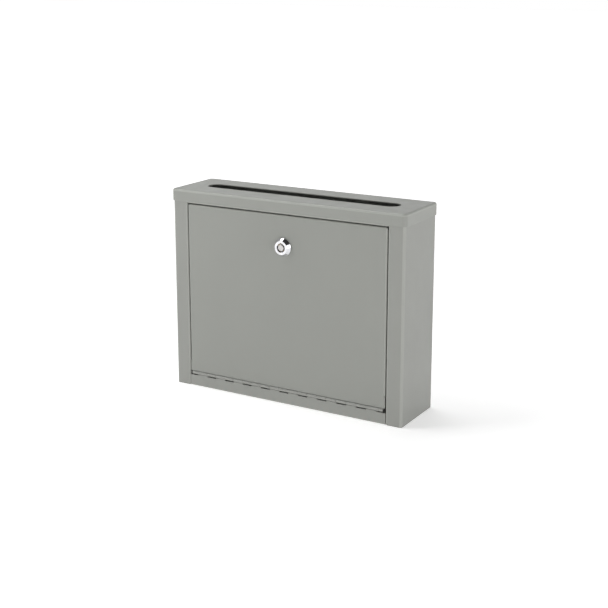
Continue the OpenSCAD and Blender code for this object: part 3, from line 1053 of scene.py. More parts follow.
def tray(across: Bent, along: Bent, order: tuple[int, int, int],
         radius: float = 0.0) -> tuple[np.ndarray, ...]:
    """Crosses two folded lines into one blank whose edges fold up both ways.

    Point (i, j) lies at the first coordinate of each line, and its height is that of
    whichever line has left the flat there. Where both are in a bend of one radius r, whose
    angles there are a and b, it lies r from the bends' common centre in the direction
    (sin a, sin b, cos a * cos b) made one long, which rounds the corner as a ball.

    Args:
        across: the line one way, as place and height.
        along: the line the other way.
        order: which axes hold the two places and the height.
        radius: of the bends that meet in closed corners, or 0.

    Returns:
        The grid of points, the fold values, and for each cell its two places and whether
        it has left the flat along each line.
    """
    flat = float(np.median(across.points[:, 1]))
    rise_a, rise_b = across.points[:, 1] - flat, along.points[:, 1] - flat
    a, b = np.meshgrid(across.points[:, 0], along.points[:, 0], indexing="ij")
    rise = np.where(np.abs(rise_a)[:, None] > np.abs(rise_b)[None, :], rise_a[:, None], rise_b[None, :])
    if radius:
        a, b, rise = round_corners(a, b, rise, rise_a, rise_b, radius)
    points = np.empty((*a.shape, 3))
    points[..., order[0]], points[..., order[1]], points[..., order[2]] = a, b, flat + rise
    fold = np.maximum(across.fold[:, None], along.fold[None, :])
    x = (a[1:, :-1] + a[:-1, :-1]) / 2
    y = (b[:-1, 1:] + b[:-1, :-1]) / 2
    up_a = np.broadcast_to(np.maximum(np.abs(rise_a[1:]), np.abs(rise_a[:-1]))[:, None] > TINY, x.shape)
    up_b = np.broadcast_to(np.maximum(np.abs(rise_b[1:]), np.abs(rise_b[:-1]))[None, :] > TINY, x.shape)
    return points, fold, x, y, up_a, up_b


def round_corners(a: np.ndarray, b: np.ndarray, rise: np.ndarray, rise_a: np.ndarray, rise_b: np.ndarray,
                  radius: float) -> tuple[np.ndarray, np.ndarray, np.ndarray]:
    """Moves the points where two bends cross onto a ball, as tray says.

    Args:
        a: the first place of each point.
        b: the second place.
        rise: the height above the flat, which may be negative.
        rise_a: the height of the line across, for each row.
        rise_b: the height of the line along, for each column.
        radius: of the bends.

    Returns:
        The places and heights.
    """
    sign = 1.0 if np.median(rise_a[np.abs(rise_a) > 0]) > 0 else -1.0
    high_a, high_b = np.abs(rise_a), np.abs(rise_b)
    both = ((high_a > HAIR) & (high_a < radius + HAIR))[:, None]
    both = both & ((high_b > HAIR) & (high_b < radius + HAIR))[None, :]
    cos_a = 1 - np.clip(high_a / radius, 0, 1)[:, None]
    cos_b = 1 - np.clip(high_b / radius, 0, 1)[None, :]
    sin_a, sin_b = np.sqrt(1 - cos_a ** 2), np.sqrt(1 - cos_b ** 2)
    length = np.sqrt(sin_a ** 2 + sin_b ** 2 + (cos_a * cos_b) ** 2)
    centre_a = a - np.sign(a - a.mean()) * radius * sin_a
    centre_b = b - np.sign(b - b.mean()) * radius * sin_b
    ball_a = centre_a + np.sign(a - a.mean()) * radius * sin_a / length
    ball_b = centre_b + np.sign(b - b.mean()) * radius * sin_b / length
    ball_rise = sign * radius * (1 - cos_a * cos_b / length)
    return np.where(both, ball_a, a), np.where(both, ball_b, b), np.where(both, ball_rise, rise)


@dataclass
class Cap:
    """The pressed cap, with the letter slot in its top."""

    sheet: float = 1.2 * MM
    corner: float = 4.98 * MM
    edge: float = 2.4 * MM
    slot_length: float = 254.0 * MM
    slot_width: float = 22.0 * MM
    sag: float = 0.12 * MM
    corner_steps: int = 10

    def build(self, shop: Workshop) -> None:
        """Builds and hangs the cap.

        Args:
            shop: the finishes.
        """
        low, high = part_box("top_cap")
        half = np.array([(high.x - low.x) / 2, (high.y - low.y) / 2])
        middle_y = (high.y + low.y) / 2
        base, way = self.loop(half)
        rim = base + (self.corner - self.edge) * way
        slot = self.slot_loop(base, way)
        shares = stations(0, 1, 0.09, 0.02)
        top = slot[:, None] + shares[None, :, None] * (rim - slot)[:, None]
        top_z = np.full(top.shape[:2], high.z)
        u, v = (top[..., 0] / half[0] + 1) / 2, (top[..., 1] / half[1] + 1) / 2
        top_z -= dip(u, v, self.sag, 1.1) * np.sin(np.pi * shares)[None, :]
        side = folded_line([(self.edge, high.z), (0, high.z), (0, low.z)], [self.edge - HAIR], pitch=5 * MM)
        side = side.points[side.points[:, 1] < high.z - TINY]
        walls = base[:, None] + (self.corner - side[:, 0])[None, :, None] * way[:, None]
        plan = np.concatenate([top, walls], axis=1)
        z = np.concatenate([top_z, np.broadcast_to(side[:, 1], walls.shape[:2])], axis=1)
        points = np.concatenate([plan + np.array([0, middle_y]), z[..., None]], axis=-1)
        # The band of the cap's edge bend gets the painted highlight that the fold attribute gives.
        bend = (z < high.z - self.edge / 20) & (z > high.z - self.edge)
        keep = np.ones((points.shape[0], points.shape[1] - 1), bool)
        piece = sheet_piece("pressed_cap", points, keep, bend.astype(float), self.sheet, wrap_rows=True)
        shop.hang(even_shading(piece), "top_cap")

    def loop(self, half: np.ndarray) -> tuple[np.ndarray, np.ndarray]:
        """A rounded rectangle as corner centres or side points, plus an outward direction.

        The outline at a distance d inside the outer one is base + (corner - d) * direction.

        Args:
            half: half the outer size along X and Y.

        Returns:
            The base points and the directions.
        """
        core = half - self.corner
        base, angle = [], []
        for quarter_turn in range(4):
            start = -np.pi / 2 + quarter_turn * np.pi / 2
            side = np.array([math.cos(start), math.sin(start)])
            ahead = np.array([-side[1], side[0]])
            length = abs(core @ ahead)
            run = stations(-length, length, 9 * MM, 0.7 * MM)
            base.append(side * abs(core @ side) + run[:, None] * ahead)
            angle.append(np.full(len(run), start))
            turn = np.linspace(0, np.pi / 2, self.corner_steps + 1)[1:-1]
            base.append(np.repeat([side * abs(core @ side) + length * ahead], len(turn), axis=0))
            angle.append(start + turn)
        base, angle = np.vstack(base), np.concatenate(angle)
        return base, np.stack([np.cos(angle), np.sin(angle)], axis=-1)

    def slot_loop(self, base: np.ndarray, way: np.ndarray) -> np.ndarray:
        """The slot's outline, point for point with the cap's.

        Along the front and back the points keep their share of the length; round each end
        they are spread evenly over the half circle.

        Args:
            base: the cap outline's base points.
            way: its directions.

        Returns:
            The slot's points.
        """
        radius = self.slot_width / 2
        straight = self.slot_length / 2 - radius
        long_side = np.abs(np.abs(way[:, 1]) - 1) < HAIR
        points = np.empty_like(base)
        reach = np.abs(base[:, 0]).max()
        points[long_side, 0] = base[long_side, 0] * straight / reach
        points[long_side, 1] = radius * way[long_side, 1]
        for end, start in ((1, -np.pi / 2), (-1, np.pi / 2)):
            here = ~long_side & (base[:, 0] * end > 0)
            turn = start + np.pi * (np.arange(here.sum()) + 1) / (here.sum() + 1)
            points[here, 0] = end * straight + radius * np.cos(turn)
            points[here, 1] = radius * np.sin(turn)
        return points


@dataclass
class Door:
    """The door: a flat skin with flanges folded back at its top and sides."""

    sheet: float = 1.2 * MM
    fold_bend: float = 1.8 * MM
    corner_relief: float = 3.3 * MM
    bend_relief: float = 0.4 * MM
    above_leaf: float = 2.0 * MM
    unevenness: float = 0.12 * MM
    lock_hole: float = 9.55 * MM
    lock_flat: float = 8.05 * MM

    def build(self, shop: Workshop) -> None:
        """Builds and hangs the door.

        Args:
            shop: the finishes.
        """
        low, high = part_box("door_panel")
        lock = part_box("lock_nut")
        lock_x, lock_z = (lock[0].x + lock[1].x) / 2, (lock[0].z + lock[1].z) / 2
        edge_x, edge_z = high.x - self.corner_relief, high.z - self.corner_relief
        flange_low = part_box("hinge_door_leaf")[1].z + self.above_leaf
        flat_top = flange_low - self.bend_relief
        across = folded_line(
            [(low.x, high.y), (low.x, low.y), (high.x, low.y), (high.x, high.y)], [self.fold_bend] * 2
        ).marked(0, (-edge_x, edge_x))
        along = folded_line(
            [(low.z, low.y), (high.z, low.y), (high.z, high.y)], [self.fold_bend]
        ).marked(0, (flat_top, flange_low, edge_z))
        points, fold, x, z, back_x, back_z = tray(across, along, (0, 2, 1), self.fold_bend)
        flange_x = back_x & ~((np.abs(across.points[1:, 0]) < high.x - 1e-6)
                              | (np.abs(across.points[:-1, 0]) < high.x - 1e-6))[:, None]
        flange_z = back_z & ~((along.points[1:, 0] < high.z - 1e-6)
                              | (along.points[:-1, 0] < high.z - 1e-6))[None, :]
        keep = ~back_x & ~back_z
        keep |= back_x & ~back_z & (z > flange_low) & (~flange_x | (z < edge_z))
        keep |= back_z & ~back_x & (~flange_z | (np.abs(x) < edge_x))
        keep |= back_x & back_z & ~flange_x & ~flange_z
        keep |= back_x & ~flange_x & (z < flat_top)
        self.flatten_foot(points, fold, across, flat_top, high.x, low.y)
        self.sink(points, low, high, lock_x, lock_z)
        piece = sheet_piece("painted_door", points, keep, fold, self.sheet)
        carve(piece, self.hole_tool(lock_x, lock_z, low.y))
        shop.hang(even_shading(piece), "door_panel")

    def flatten_foot(self, points: np.ndarray, fold: np.ndarray, across: Bent, top: float,
                     half: float, front: float) -> None:
        """Opens the side bends out flat below the flanges, where the hinge leaf needs the room.

        The points of each bend are spread evenly between its start and the door's edge.

        Args:
            points: the door's grid, changed in place.
            fold: its fold values, changed in place.
            across: the line that the grid's rows follow.
            top: the height below which the skin is flat.
            half: half the door's width.
            front: y of the skin.
        """
        foot = points[0, :, 2] <= top + TINY
        for side in (-1, 1):
            bend = (across.fold > 0) & (across.points[:, 0] * side > 0)
            rows = np.flatnonzero(bend)
            rows = np.append(rows, rows.max() + 1) if side > 0 else np.insert(rows, 0, rows.min() - 1)
            shares = np.arange(1, len(rows) + 1) / len(rows)
            places = side * (half - self.fold_bend + self.fold_bend * shares)
            cells = np.ix_(rows if side > 0 else rows[::-1], foot)
            points[cells + (0,)] = places[:, None]
            points[cells + (1,)] = front
            fold[cells] = 0

    def sink(self, points: np.ndarray, low: Vector, high: Vector, lock_x: float,
             lock_z: float) -> None:
        """Gives the skin its slight unevenness, which fades out around the lock.

        The fade is one less a bell curve of the distance from the lock's axis.

        Args:
            points: the door's grid, changed in place.
            low: the door's lowest corner.
            high: its highest corner.
            lock_x: x of the lock's axis.
            lock_z: z of the lock's axis.
        """
        x, z = points[..., 0], points[..., 2]
        depth = dip((x - low.x) / (high.x - low.x), (z - low.z) / (high.z - low.z), self.unevenness, 2.3)
        distance = np.hypot(x - lock_x, z - lock_z)
        depth *= 1 - np.exp(-((distance / (28 * MM)) ** 2))
        skin = points[..., 1] < low.y + TINY
        points[..., 1] += np.where(skin, depth, 0)

    def hole_tool(self, x: float, z: float, front: float) -> Piece:
        """The tool for the lock's hole: a bar held within two flats.

        Args:
            x: x of the lock's axis.
            z: z of the lock's axis.
            front: y of the skin.

        Returns:
            The tool.
        """
        profile = np.array([
            (0, front - 2 * MM), (self.lock_hole, front - 2 * MM),
            (self.lock_hole, front + 4 * MM), (0, front + 4 * MM),
        ])
        limit = np.full(len(profile), self.lock_flat)
        return turned("lock_hole_tool", profile, (x, z), round_angles(96), limit_x=limit, ring=False)


@dataclass
class Hinge:
    """The continuous hinge: two leaves whose tabs roll round the pin, turn and turn about."""

    leaf: float = 0.8 * MM
    width: float = 14.0 * MM
    pitch: float = 12.7 * MM
    end_gap: float = 0.35 * MM
    relief: float = 1.7 * MM
    roll_deg: float = 300.0
    shortest_tab: float = 3.0 * MM

    def build(self, shop: Workshop) -> None:
        """Builds and hangs the leaves and dresses the pin.

        Args:
            shop: the finishes.
        """
        shop.hang(self.rolled_leaf("door_leaf", 0, 1), "hinge_door_leaf")
        shop.hang(self.rolled_leaf("case_leaf", 1, -1), "hinge_case_leaf")
        shop.hang(self.pin(), "hinge_pin")

    def tabs(self, parity: int, half: float) -> np.ndarray:
        """First and last x of each tab that a leaf carries.

        Args:
            parity: 0 for the tabs with an even number from the middle, 1 for the odd ones.
            half: half the hinge's length.

        Returns:
            One row for each tab.
        """
        last = math.ceil(half / self.pitch)
        number = np.arange(-last, last + 1)
        number = number[np.abs(number) % 2 == parity]
        reach = (self.pitch - self.end_gap) / 2
        centre = number * self.pitch
        spans = np.stack([centre - reach, centre + reach], axis=-1).clip(-half, half)
        return spans[spans[:, 1] - spans[:, 0] >= self.shortest_tab]

    def rolled_leaf(self, name: str, parity: int, side: int) -> Piece:
        """One leaf: a line in side view, straight down the plate and then round the pin.

        The plate's far face lies one barrel radius behind the axis, and from there the line
        turns about the axis with that radius. Between the tabs the plate is cut back.

        Args:
            name: the piece's name.
            parity: which tabs it carries.
            side: +1 if its plate runs up from the axis, -1 if down.

        Returns:
            The leaf.
        """
        low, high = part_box("hinge_pin")
        axis_y, axis_z = (low.y + high.y) / 2, (low.z + high.z) / 2
        barrel = axis_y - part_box("hinge_door_leaf")[0].y
        tabs = self.tabs(parity, high.x)
        places = stations(low.x, high.x, 6 * MM, 0.5 * MM, tuple(tabs.ravel()[1:-1]))
        plate_from = barrel + self.relief
        straight = stations(0, self.width, 3 * MM, 0.5 * MM, (plate_from,))[::-1]
        roll = np.radians(np.linspace(0, self.roll_deg, 37)[1:])
        y = np.concatenate([np.full(len(straight), barrel), barrel * np.cos(roll)])
        z = np.concatenate([straight, -barrel * np.sin(roll)])
        points = np.empty((len(y), len(places), 3))
        points[..., 0] = places
        points[..., 1] = axis_y + y[:, None]
        points[..., 2] = axis_z + side * z[:, None]
        fold = np.repeat((np.arange(len(y)) >= len(straight))[:, None], len(places), axis=1).astype(float)
        on_tab = within(middles(places), tabs)
        on_plate = (np.arange(len(y) - 1) + 1 < len(straight)) & (z[1:] >= plate_from - TINY)
        keep = on_plate[:, None] | on_tab[None, :]
        # The rolled barrel gets four tenths of the painted highlight that the enamel puts on folds.
        piece = sheet_piece(name, points, keep, 0.4 * fold, self.leaf, edge=0.12 * MM)
        return even_shading(piece)

    def pin(self) -> Piece:
        """The pin: a bar along X whose ends are rounded off by a quarter circle.

        Returns:
            The piece.
        """
        low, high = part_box("hinge_pin")
        radius = (high.z - low.z) / 2
        half, nose = high.x, 0.4 * MM
        turn = np.linspace(0, np.pi / 2, 5)
        end_x = half - nose + nose * np.sin(turn)
        end_r = radius - nose + nose * np.cos(turn)
        x = np.concatenate([[-half], -end_x[::-1], np.linspace(-half, half, 40)[1:-1], end_x, [half]])
        r = np.concatenate([[0], end_r[::-1], np.full(38, radius), end_r, [0]])
        angles = round_angles(32)
        points = np.stack([
            np.broadcast_to(x, (32, len(x))),
            (low.y + high.y) / 2 + r * np.cos(angles)[:, None],
            (low.z + high.z) / 2 + r * np.sin(angles)[:, None],
        ], axis=-1)
        cells = grid_faces(*points.shape[:2], wrap_rows=True)
        return even_shading(close_up(mesh_piece("drawn_pin", points, cells)))


def lock_axis() -> Colour:
    """The point that the lock turns about, from its joint."""
    return tuple(next(j for j in frame["joints"] if j["child"] == "lock_rotor")["pos_m"])


@dataclass
class Lock:
    """The tubular cam lock. Depths are measured from the face of the door."""

    head: float = 5.2 * MM
    head_radius: float = 11.0 * MM
    face_radius: float = 8.0 * MM
    keyway_radius: float = 5.2 * MM
    post_radius: float = 3.65 * MM
    barrel_radius: float = 9.5 * MM
    barrel_length: float = 12.6 * MM
    flat: float = 8.0 * MM
    bore_radius: float = 7.0 * MM
    shoulder: float = 0.8 * MM
    thread_pitch: float = 1.0 * MM
    thread_depth: float = 0.5 * MM
    pins: int = 7
    pin_ring: float = 4.425 * MM
    pin_hole: float = 0.75 * MM
    lug_height: float = 1.2 * MM
    lug_radii: tuple[float, float] = (7.1 * MM, 7.95 * MM)
    lug_half_deg: float = 112.5
    tail_half: float = 2.5 * MM
    tail_hole: float = 1.5 * MM
    fit: float = 0.05 * MM
    x: float = field(init=False)
    z: float = field(init=False)
    face: float = field(init=False)

    def __post_init__(self) -> None:
        """Takes the lock's axis from the joint that it turns on."""
        self.x, self.face, self.z = lock_axis()

    def build(self, shop: Workshop) -> None:
        """Builds and hangs the pieces that show, and dresses those inside.

        Args:
            shop: the finishes.
        """
        makers = {
            "lock_housing": self.housing, "lock_plug": self.plug, "lock_nut": self.nut,
            "lock_tooth_washer": self.tooth_washer, "lock_stop_washer": self.stop_washer,
            "lock_cam": self.cam, "cam_screw": self.screw,
        }
        for node, make in makers.items():
            shop.hang(make(), node)
        for node in ("lock_key_pins", "lock_bushing", "lock_driver_pins", "lock_pin_springs",
                     "lock_retaining_pin", "cam_spring_washer"):
            shop.dress(node)

    def housing(self) -> Piece:
        """The head and the threaded barrel in one turned piece.

        The thread is a cosine wave on the radius whose phase grows with the depth and, once
        round, by one pitch. The flats hold the barrel's points within their width.

        Returns:
            The piece.
        """
        start = 1.0 * MM
        front = folded_line(
            [(self.keyway_radius, 0), (self.keyway_radius, -self.head), (self.face_radius, -self.head),
             (self.head_radius, -1.3 * MM), (self.head_radius, 0), (self.barrel_radius, 0),
             (self.barrel_radius, start)],
            [0.2 * MM, 0.35 * MM, 0.7 * MM, 0.15 * MM, 0.1 * MM], 1.2 * MM, 0.1 * MM, 6,
        ).points
        steps = int((self.barrel_length - start) / self.thread_pitch * 10)
        thread_y = np.linspace(start, self.barrel_length - 0.4 * MM, steps)[1:]
        thread = np.stack([np.full_like(thread_y, self.barrel_radius), thread_y], axis=-1)
        back = folded_line(
            [(self.barrel_radius - 0.3 * MM, self.barrel_length), (self.bore_radius, self.barrel_length),
             (self.bore_radius, self.shoulder), (self.keyway_radius, self.shoulder),
             (self.keyway_radius, 0.2 * MM)],
            [0.1 * MM, 0.05 * MM, 0.05 * MM], 2 * MM, 0.1 * MM, 3,
        ).points
        profile = np.vstack([front, thread, back])
        angles = round_angles(144)
        on_thread = np.abs(profile[:, 0] - self.barrel_radius) < TINY
        on_thread &= profile[:, 1] >= start - TINY
        fade = np.clip((profile[:, 1] - start) / self.thread_pitch, 0, 1)
        phase = 2 * np.pi * profile[None, :, 1] / self.thread_pitch + angles[:, None]
        swell = -self.thread_depth / 2 * (1 - np.cos(phase)) * (on_thread * fade)[None, :]
        on_barrel = (profile[:, 1] > -TINY) & (profile[:, 0] <= self.barrel_radius + TINY)
        limit = np.where(on_barrel, self.flat, UNHELD)
        profile[:, 1] += self.face
        piece = turned("chrome_body", profile, (self.x, self.z), angles, limit_x=limit, swell=swell)
        notch_half, notch_out = 0.9 * MM, self.keyway_radius + 1.1 * MM
        carve(piece, self.bar("notch_tool", (-notch_half, self.keyway_radius - 2 * MM),
                              (notch_half, notch_out), -self.head - 2 * MM, -self.head + 2.5 * MM))
        carve(piece, self.lug(), "UNION")
        return even_shading(piece)

    def bar(self, name: str, low: tuple[float, float], high: tuple[float, float], start: float,
            end: float) -> Piece:
        """A square bar along Y between two corners around the lock's axis.

        Args:
            name: the tool's name.
            low: lowest x and z, from the axis.
            high: highest x and z.
            start: depth where it starts.
            end: depth where it ends.

        Returns:
            The bar.
        """
        x, y, z = np.meshgrid(
            [self.x + low[0], self.x + high[0]], [self.face + start, self.face + end],
            [self.z + low[1], self.z + high[1]], indexing="ij",
        )
        points = np.stack([x, y, z], axis=-1).reshape(-1, 3)
        sides = np.array([
            (0, 1, 3, 2), (4, 6, 7, 5), (0, 4, 5, 1), (2, 3, 7, 6), (0, 2, 6, 4), (1, 5, 7, 3),
        ])
        return close_up(mesh_piece(name, points, sides))

    def lug(self) -> Piece:
        """The stop lug: part of a ring behind the barrel, centred away from the cam.

        Returns:
            The piece.
        """
        inner, outer = self.lug_radii
        start = self.barrel_length - 0.3 * MM
        end = self.barrel_length + self.lug_height
        turn = np.pi + np.radians(np.linspace(-self.lug_half_deg, self.lug_half_deg, 61))
        radius = np.array([inner, outer, outer, inner])
        depth = np.array([start, start, end, end])
        ring = np.stack([
            self.x + radius * np.cos(turn)[:, None],
            np.broadcast_to(self.face + depth, (len(turn), 4)),
            self.z + radius * np.sin(turn)[:, None],
        ], axis=-1)
        cells = grid_faces(len(turn), 4, wrap_cols=True).reshape(-1, 4)
        last = 4 * (len(turn) - 1)
        ends = np.array([(0, 1, 2, 3), (last + 3, last + 2, last + 1, last)])
        return close_up(mesh_piece("lug_tool", ring, np.vstack([cells, ends])))

    def plug(self) -> Piece:
        """The turning plug: post, flange and shaft turned, and a tail held within a square.

        Returns:
            The piece.
        """
        bore, shaft = self.bore_radius - self.fit, 3.0 * MM
        tail_start, tail_end = 12.9 * MM, 15.9 * MM
        line = folded_line(
            [(0, -4.85 * MM), (2.0 * MM, -4.85 * MM), (2.3 * MM, -5.0 * MM), (self.post_radius, -5.0 * MM),
             (self.post_radius, 1.1 * MM), (bore, 1.1 * MM), (bore, 4.6 * MM), (shaft, 4.6 * MM),
             (shaft, tail_start), (3.3 * MM, tail_start), (3.3 * MM, tail_end), (self.tail_hole, tail_end),
             (self.tail_hole, 10.0 * MM), (0, 9.3 * MM)],
            [0.1 * MM, 0.1 * MM, 0.35 * MM, 0.1 * MM, 0.1 * MM, 0.1 * MM, 0.1 * MM, 0.05 * MM, 0.05 * MM,
             0.2 * MM, 0.1 * MM, 0.1 * MM],
            1.5 * MM, 0.08 * MM, 5,
        )
        profile = line.points.copy()
        tail = (profile[:, 1] > tail_start - TINY) & (profile[:, 0] > self.tail_hole + 0.2 * MM)
        limit = np.where(tail, self.tail_half, UNHELD)
        profile[:, 1] += self.face
        angles = round_angles(144)
        piece = turned("keyway_plug", profile, (self.x, self.z), angles, limit, limit, ring=False)
        turn = np.pi / 2 - 2 * np.pi / self.pins * (np.arange(self.pins) + 0.5)
        hole_start, hole_end = self.face + 0.5 * MM, self.face + 5.2 * MM
        tool = rods("pin_hole_tool", self.around(turn, self.pin_ring), self.pin_hole, hole_start,
                    hole_end, sides=32)
        return even_shading(carve(piece, tool))

    def nut(self) -> Piece:
        """The hexagon nut, turned with a radius that varies.

        It is the hexagon's, or that of the 30 degree chamfer at each face where that is less.

        Returns:
            The piece.
        """
        flat_radius, start, end = 11.9 * MM, 2.0 * MM, 6.0 * MM
        bore = self.barrel_radius + self.fit
        corner_radius = flat_radius / math.cos(math.pi / 6)
        line = folded_line(
            [(bore + 0.4 * MM, start), (corner_radius, start), (corner_radius, end), (bore + 0.4 * MM, end),
             (bore, end - 0.4 * MM), (bore, start + 0.4 * MM)],
            [0.05 * MM, 0.05 * MM, 0.1 * MM, 0.1 * MM], 0.35 * MM, 0.1 * MM, 3,
        )
        profile = line.points.copy()
        angles = round_angles(144, np.pi / 2 + np.arange(6) * np.pi / 3)
        from_flat = np.mod(angles, np.pi / 3) - np.pi / 6
        hexagon = flat_radius / np.cos(from_flat)
        depth_in = np.minimum(profile[:, 1] - start, end - profile[:, 1])
        cone = flat_radius - 0.1 * MM + depth_in / math.tan(math.pi / 6)
        held = np.minimum(np.minimum(hexagon[:, None], cone[None, :]), profile[None, :, 0])
        swell = np.where(profile[None, :, 0] > bore + 0.8 * MM, held - profile[None, :, 0], 0)
        profile[:, 1] += self.face
        return even_shading(turned("hex_nut", profile, (self.x, self.z), angles, swell=swell), 28)

    def around(self, angles: np.ndarray, radius: np.ndarray | float) -> np.ndarray:
        """x and z at a radius and each angle about the lock's axis."""
        return np.stack([self.x + radius * np.cos(angles), self.z + radius * np.sin(angles)], axis=-1)

    def tooth_washer(self) -> Piece:
        """The toothed washer.

        Its outer radius drops between teeth, and each tooth is twisted so that one of its
        corners bites forwards and the other backwards.

        Returns:
            The piece.
        """
        outer, teeth, gap_half = 11.9 * MM, 12, 0.6 * MM
        start, thickness, twist = 1.35 * MM, 0.5 * MM, 0.14 * MM
        cut = gap_half / outer
        gap_edges = np.array([-cut, -cut + 0.004, cut - 0.004, cut])
        marks = 2 * np.pi / teeth * np.arange(teeth)[:, None] + gap_edges
        angles = round_angles(144, marks.ravel())
        share = np.mod(angles * teeth / (2 * np.pi) + 0.5, 1) - 0.5
        in_gap = np.abs(share) < cut * teeth / (2 * np.pi) - 0.001
        radius = np.where(in_gap, outer - 0.9 * MM, outer)
        from_middle = np.mod(angles * teeth / (2 * np.pi), 1) - 0.5
        lean = np.where(in_gap, 0, 2 * twist * from_middle)
        front = self.face + start + lean
        bore = self.around(angles, self.barrel_radius + self.fit)
        ring = plate("toothed_washer", self.around(angles, radius), bore, front,
                     front + thickness, 0.06 * MM)
        return even_shading(ring)

    def square(self, angles: np.ndarray) -> np.ndarray:
        """The square hole: at each angle, its half width over the larger of cosine and sine."""
        half = self.tail_half + self.fit
        return self.around(angles, half / np.maximum(np.abs(np.cos(angles)), np.abs(np.sin(angles))))

    def stop_washer(self) -> Piece:
        """The washer that turns with the plug, with a tab that meets the lug at each end.

        Returns:
            The piece.
        """
        disc, tab = self.bore_radius - 0.2 * MM, self.lug_radii[1]
        start = self.barrel_length + 0.3 * MM
        centre, half = math.radians(-45), math.radians(20)
        edges = centre + np.array([-half, -half + 0.004, half - 0.004, half])
        square_corners = np.pi / 4 + np.arange(4) * np.pi / 2
        angles = round_angles(144, np.concatenate([edges, square_corners]))
        off = np.mod(angles - centre + np.pi, 2 * np.pi) - np.pi
        radius = np.where(np.abs(off) < half - 0.002, tab, disc)
        front = self.face + start
        ring = plate("travel_washer", self.around(angles, radius), self.square(angles), front,
                     front + self.lug_height, 0.08 * MM)
        return even_shading(ring)

    def cam(self) -> Piece:
        """The cam: a round hub joined by straight edges to a tip with rounded corners.

        The outline is a folded line once round; each of its points is matched with the point
        of the square hole in the same direction.

        Returns:
            The piece.
        """
        hub, reach, half, corner = 8.0 * MM, 44.0 * MM, 7.0 * MM, 3.0 * MM
        start, thickness = 14.1 * MM, 2.0 * MM
        hub_x = 0.4 * MM
        edge = folded_line([(hub_x, -hub), (reach, -half), (reach, half), (hub_x, hub)], [corner, corner],
                           4 * MM, 0.5 * MM, 8).points
        turn = np.linspace(np.pi / 2, 3 * np.pi / 2, 40)
        round_end = np.stack([hub * np.cos(turn), hub * np.sin(turn)], axis=-1)
        outline = np.vstack([edge, round_end])
        angles = np.arctan2(outline[:, 1], outline[:, 0])
        centre = np.array([self.x, self.z])
        front = self.face + start
        piece = plate("lock_tongue", centre + outline, self.square(angles), front,
                      front + thickness, 0.15 * MM)
        return even_shading(piece)

    def screw(self) -> Piece:
        """The screw: a rounded head with a cross recess, and a shank.

        Over the head's face the recess goes in where a point lies within the cross: near one
        of its two middle lines and not past their ends.

        Returns:
            The piece.
        """
        start, head_radius, head_height, length = 16.9 * MM, 3.6 * MM, 2.2 * MM, 7.0 * MM
        shank = self.tail_hole - self.fit
        top = start + head_height
        crown = np.linspace(0, 1, 26)[:-1]
        crown = np.stack([crown * (head_radius - 0.7 * MM), top - 0.25 * MM * crown ** 2], axis=-1)
        rest = folded_line(
            [(head_radius - 0.7 * MM, top - 0.25 * MM), (head_radius, top - 0.9 * MM), (head_radius, start),
             (shank, start), (shank, start - length + 0.5 * MM), (shank - 0.5 * MM, start - length),
             (0, start - length)],
            [0.4 * MM, 0.1 * MM, 0.1 * MM, 0.1 * MM, 0.1 * MM], 0.8 * MM, 0.08 * MM, 5,
        ).points
        profile = np.vstack([crown, rest])
        angles = round_angles(144)
        x = profile[None, :, 0] * np.cos(angles)[:, None]
        z = profile[None, :, 0] * np.sin(angles)[:, None]
        near = np.clip((0.42 * MM - np.minimum(np.abs(x), np.abs(z))) / (0.1 * MM), 0, 1)
        inside = np.clip((2.0 * MM - np.maximum(np.abs(x), np.abs(z))) / (0.4 * MM), 0, 1)
        on_crown = np.arange(len(profile)) < len(crown)
        depth = profile[None, :, 1] - 1.3 * MM * near * inside * on_crown
        points = np.stack([self.x + x, self.face + depth, self.z + z], axis=-1)
        cells = grid_faces(*x.shape, wrap_rows=True)
        return even_shading(close_up(mesh_piece("tongue_screw", points, cells)), 60)


# ---- studio ----


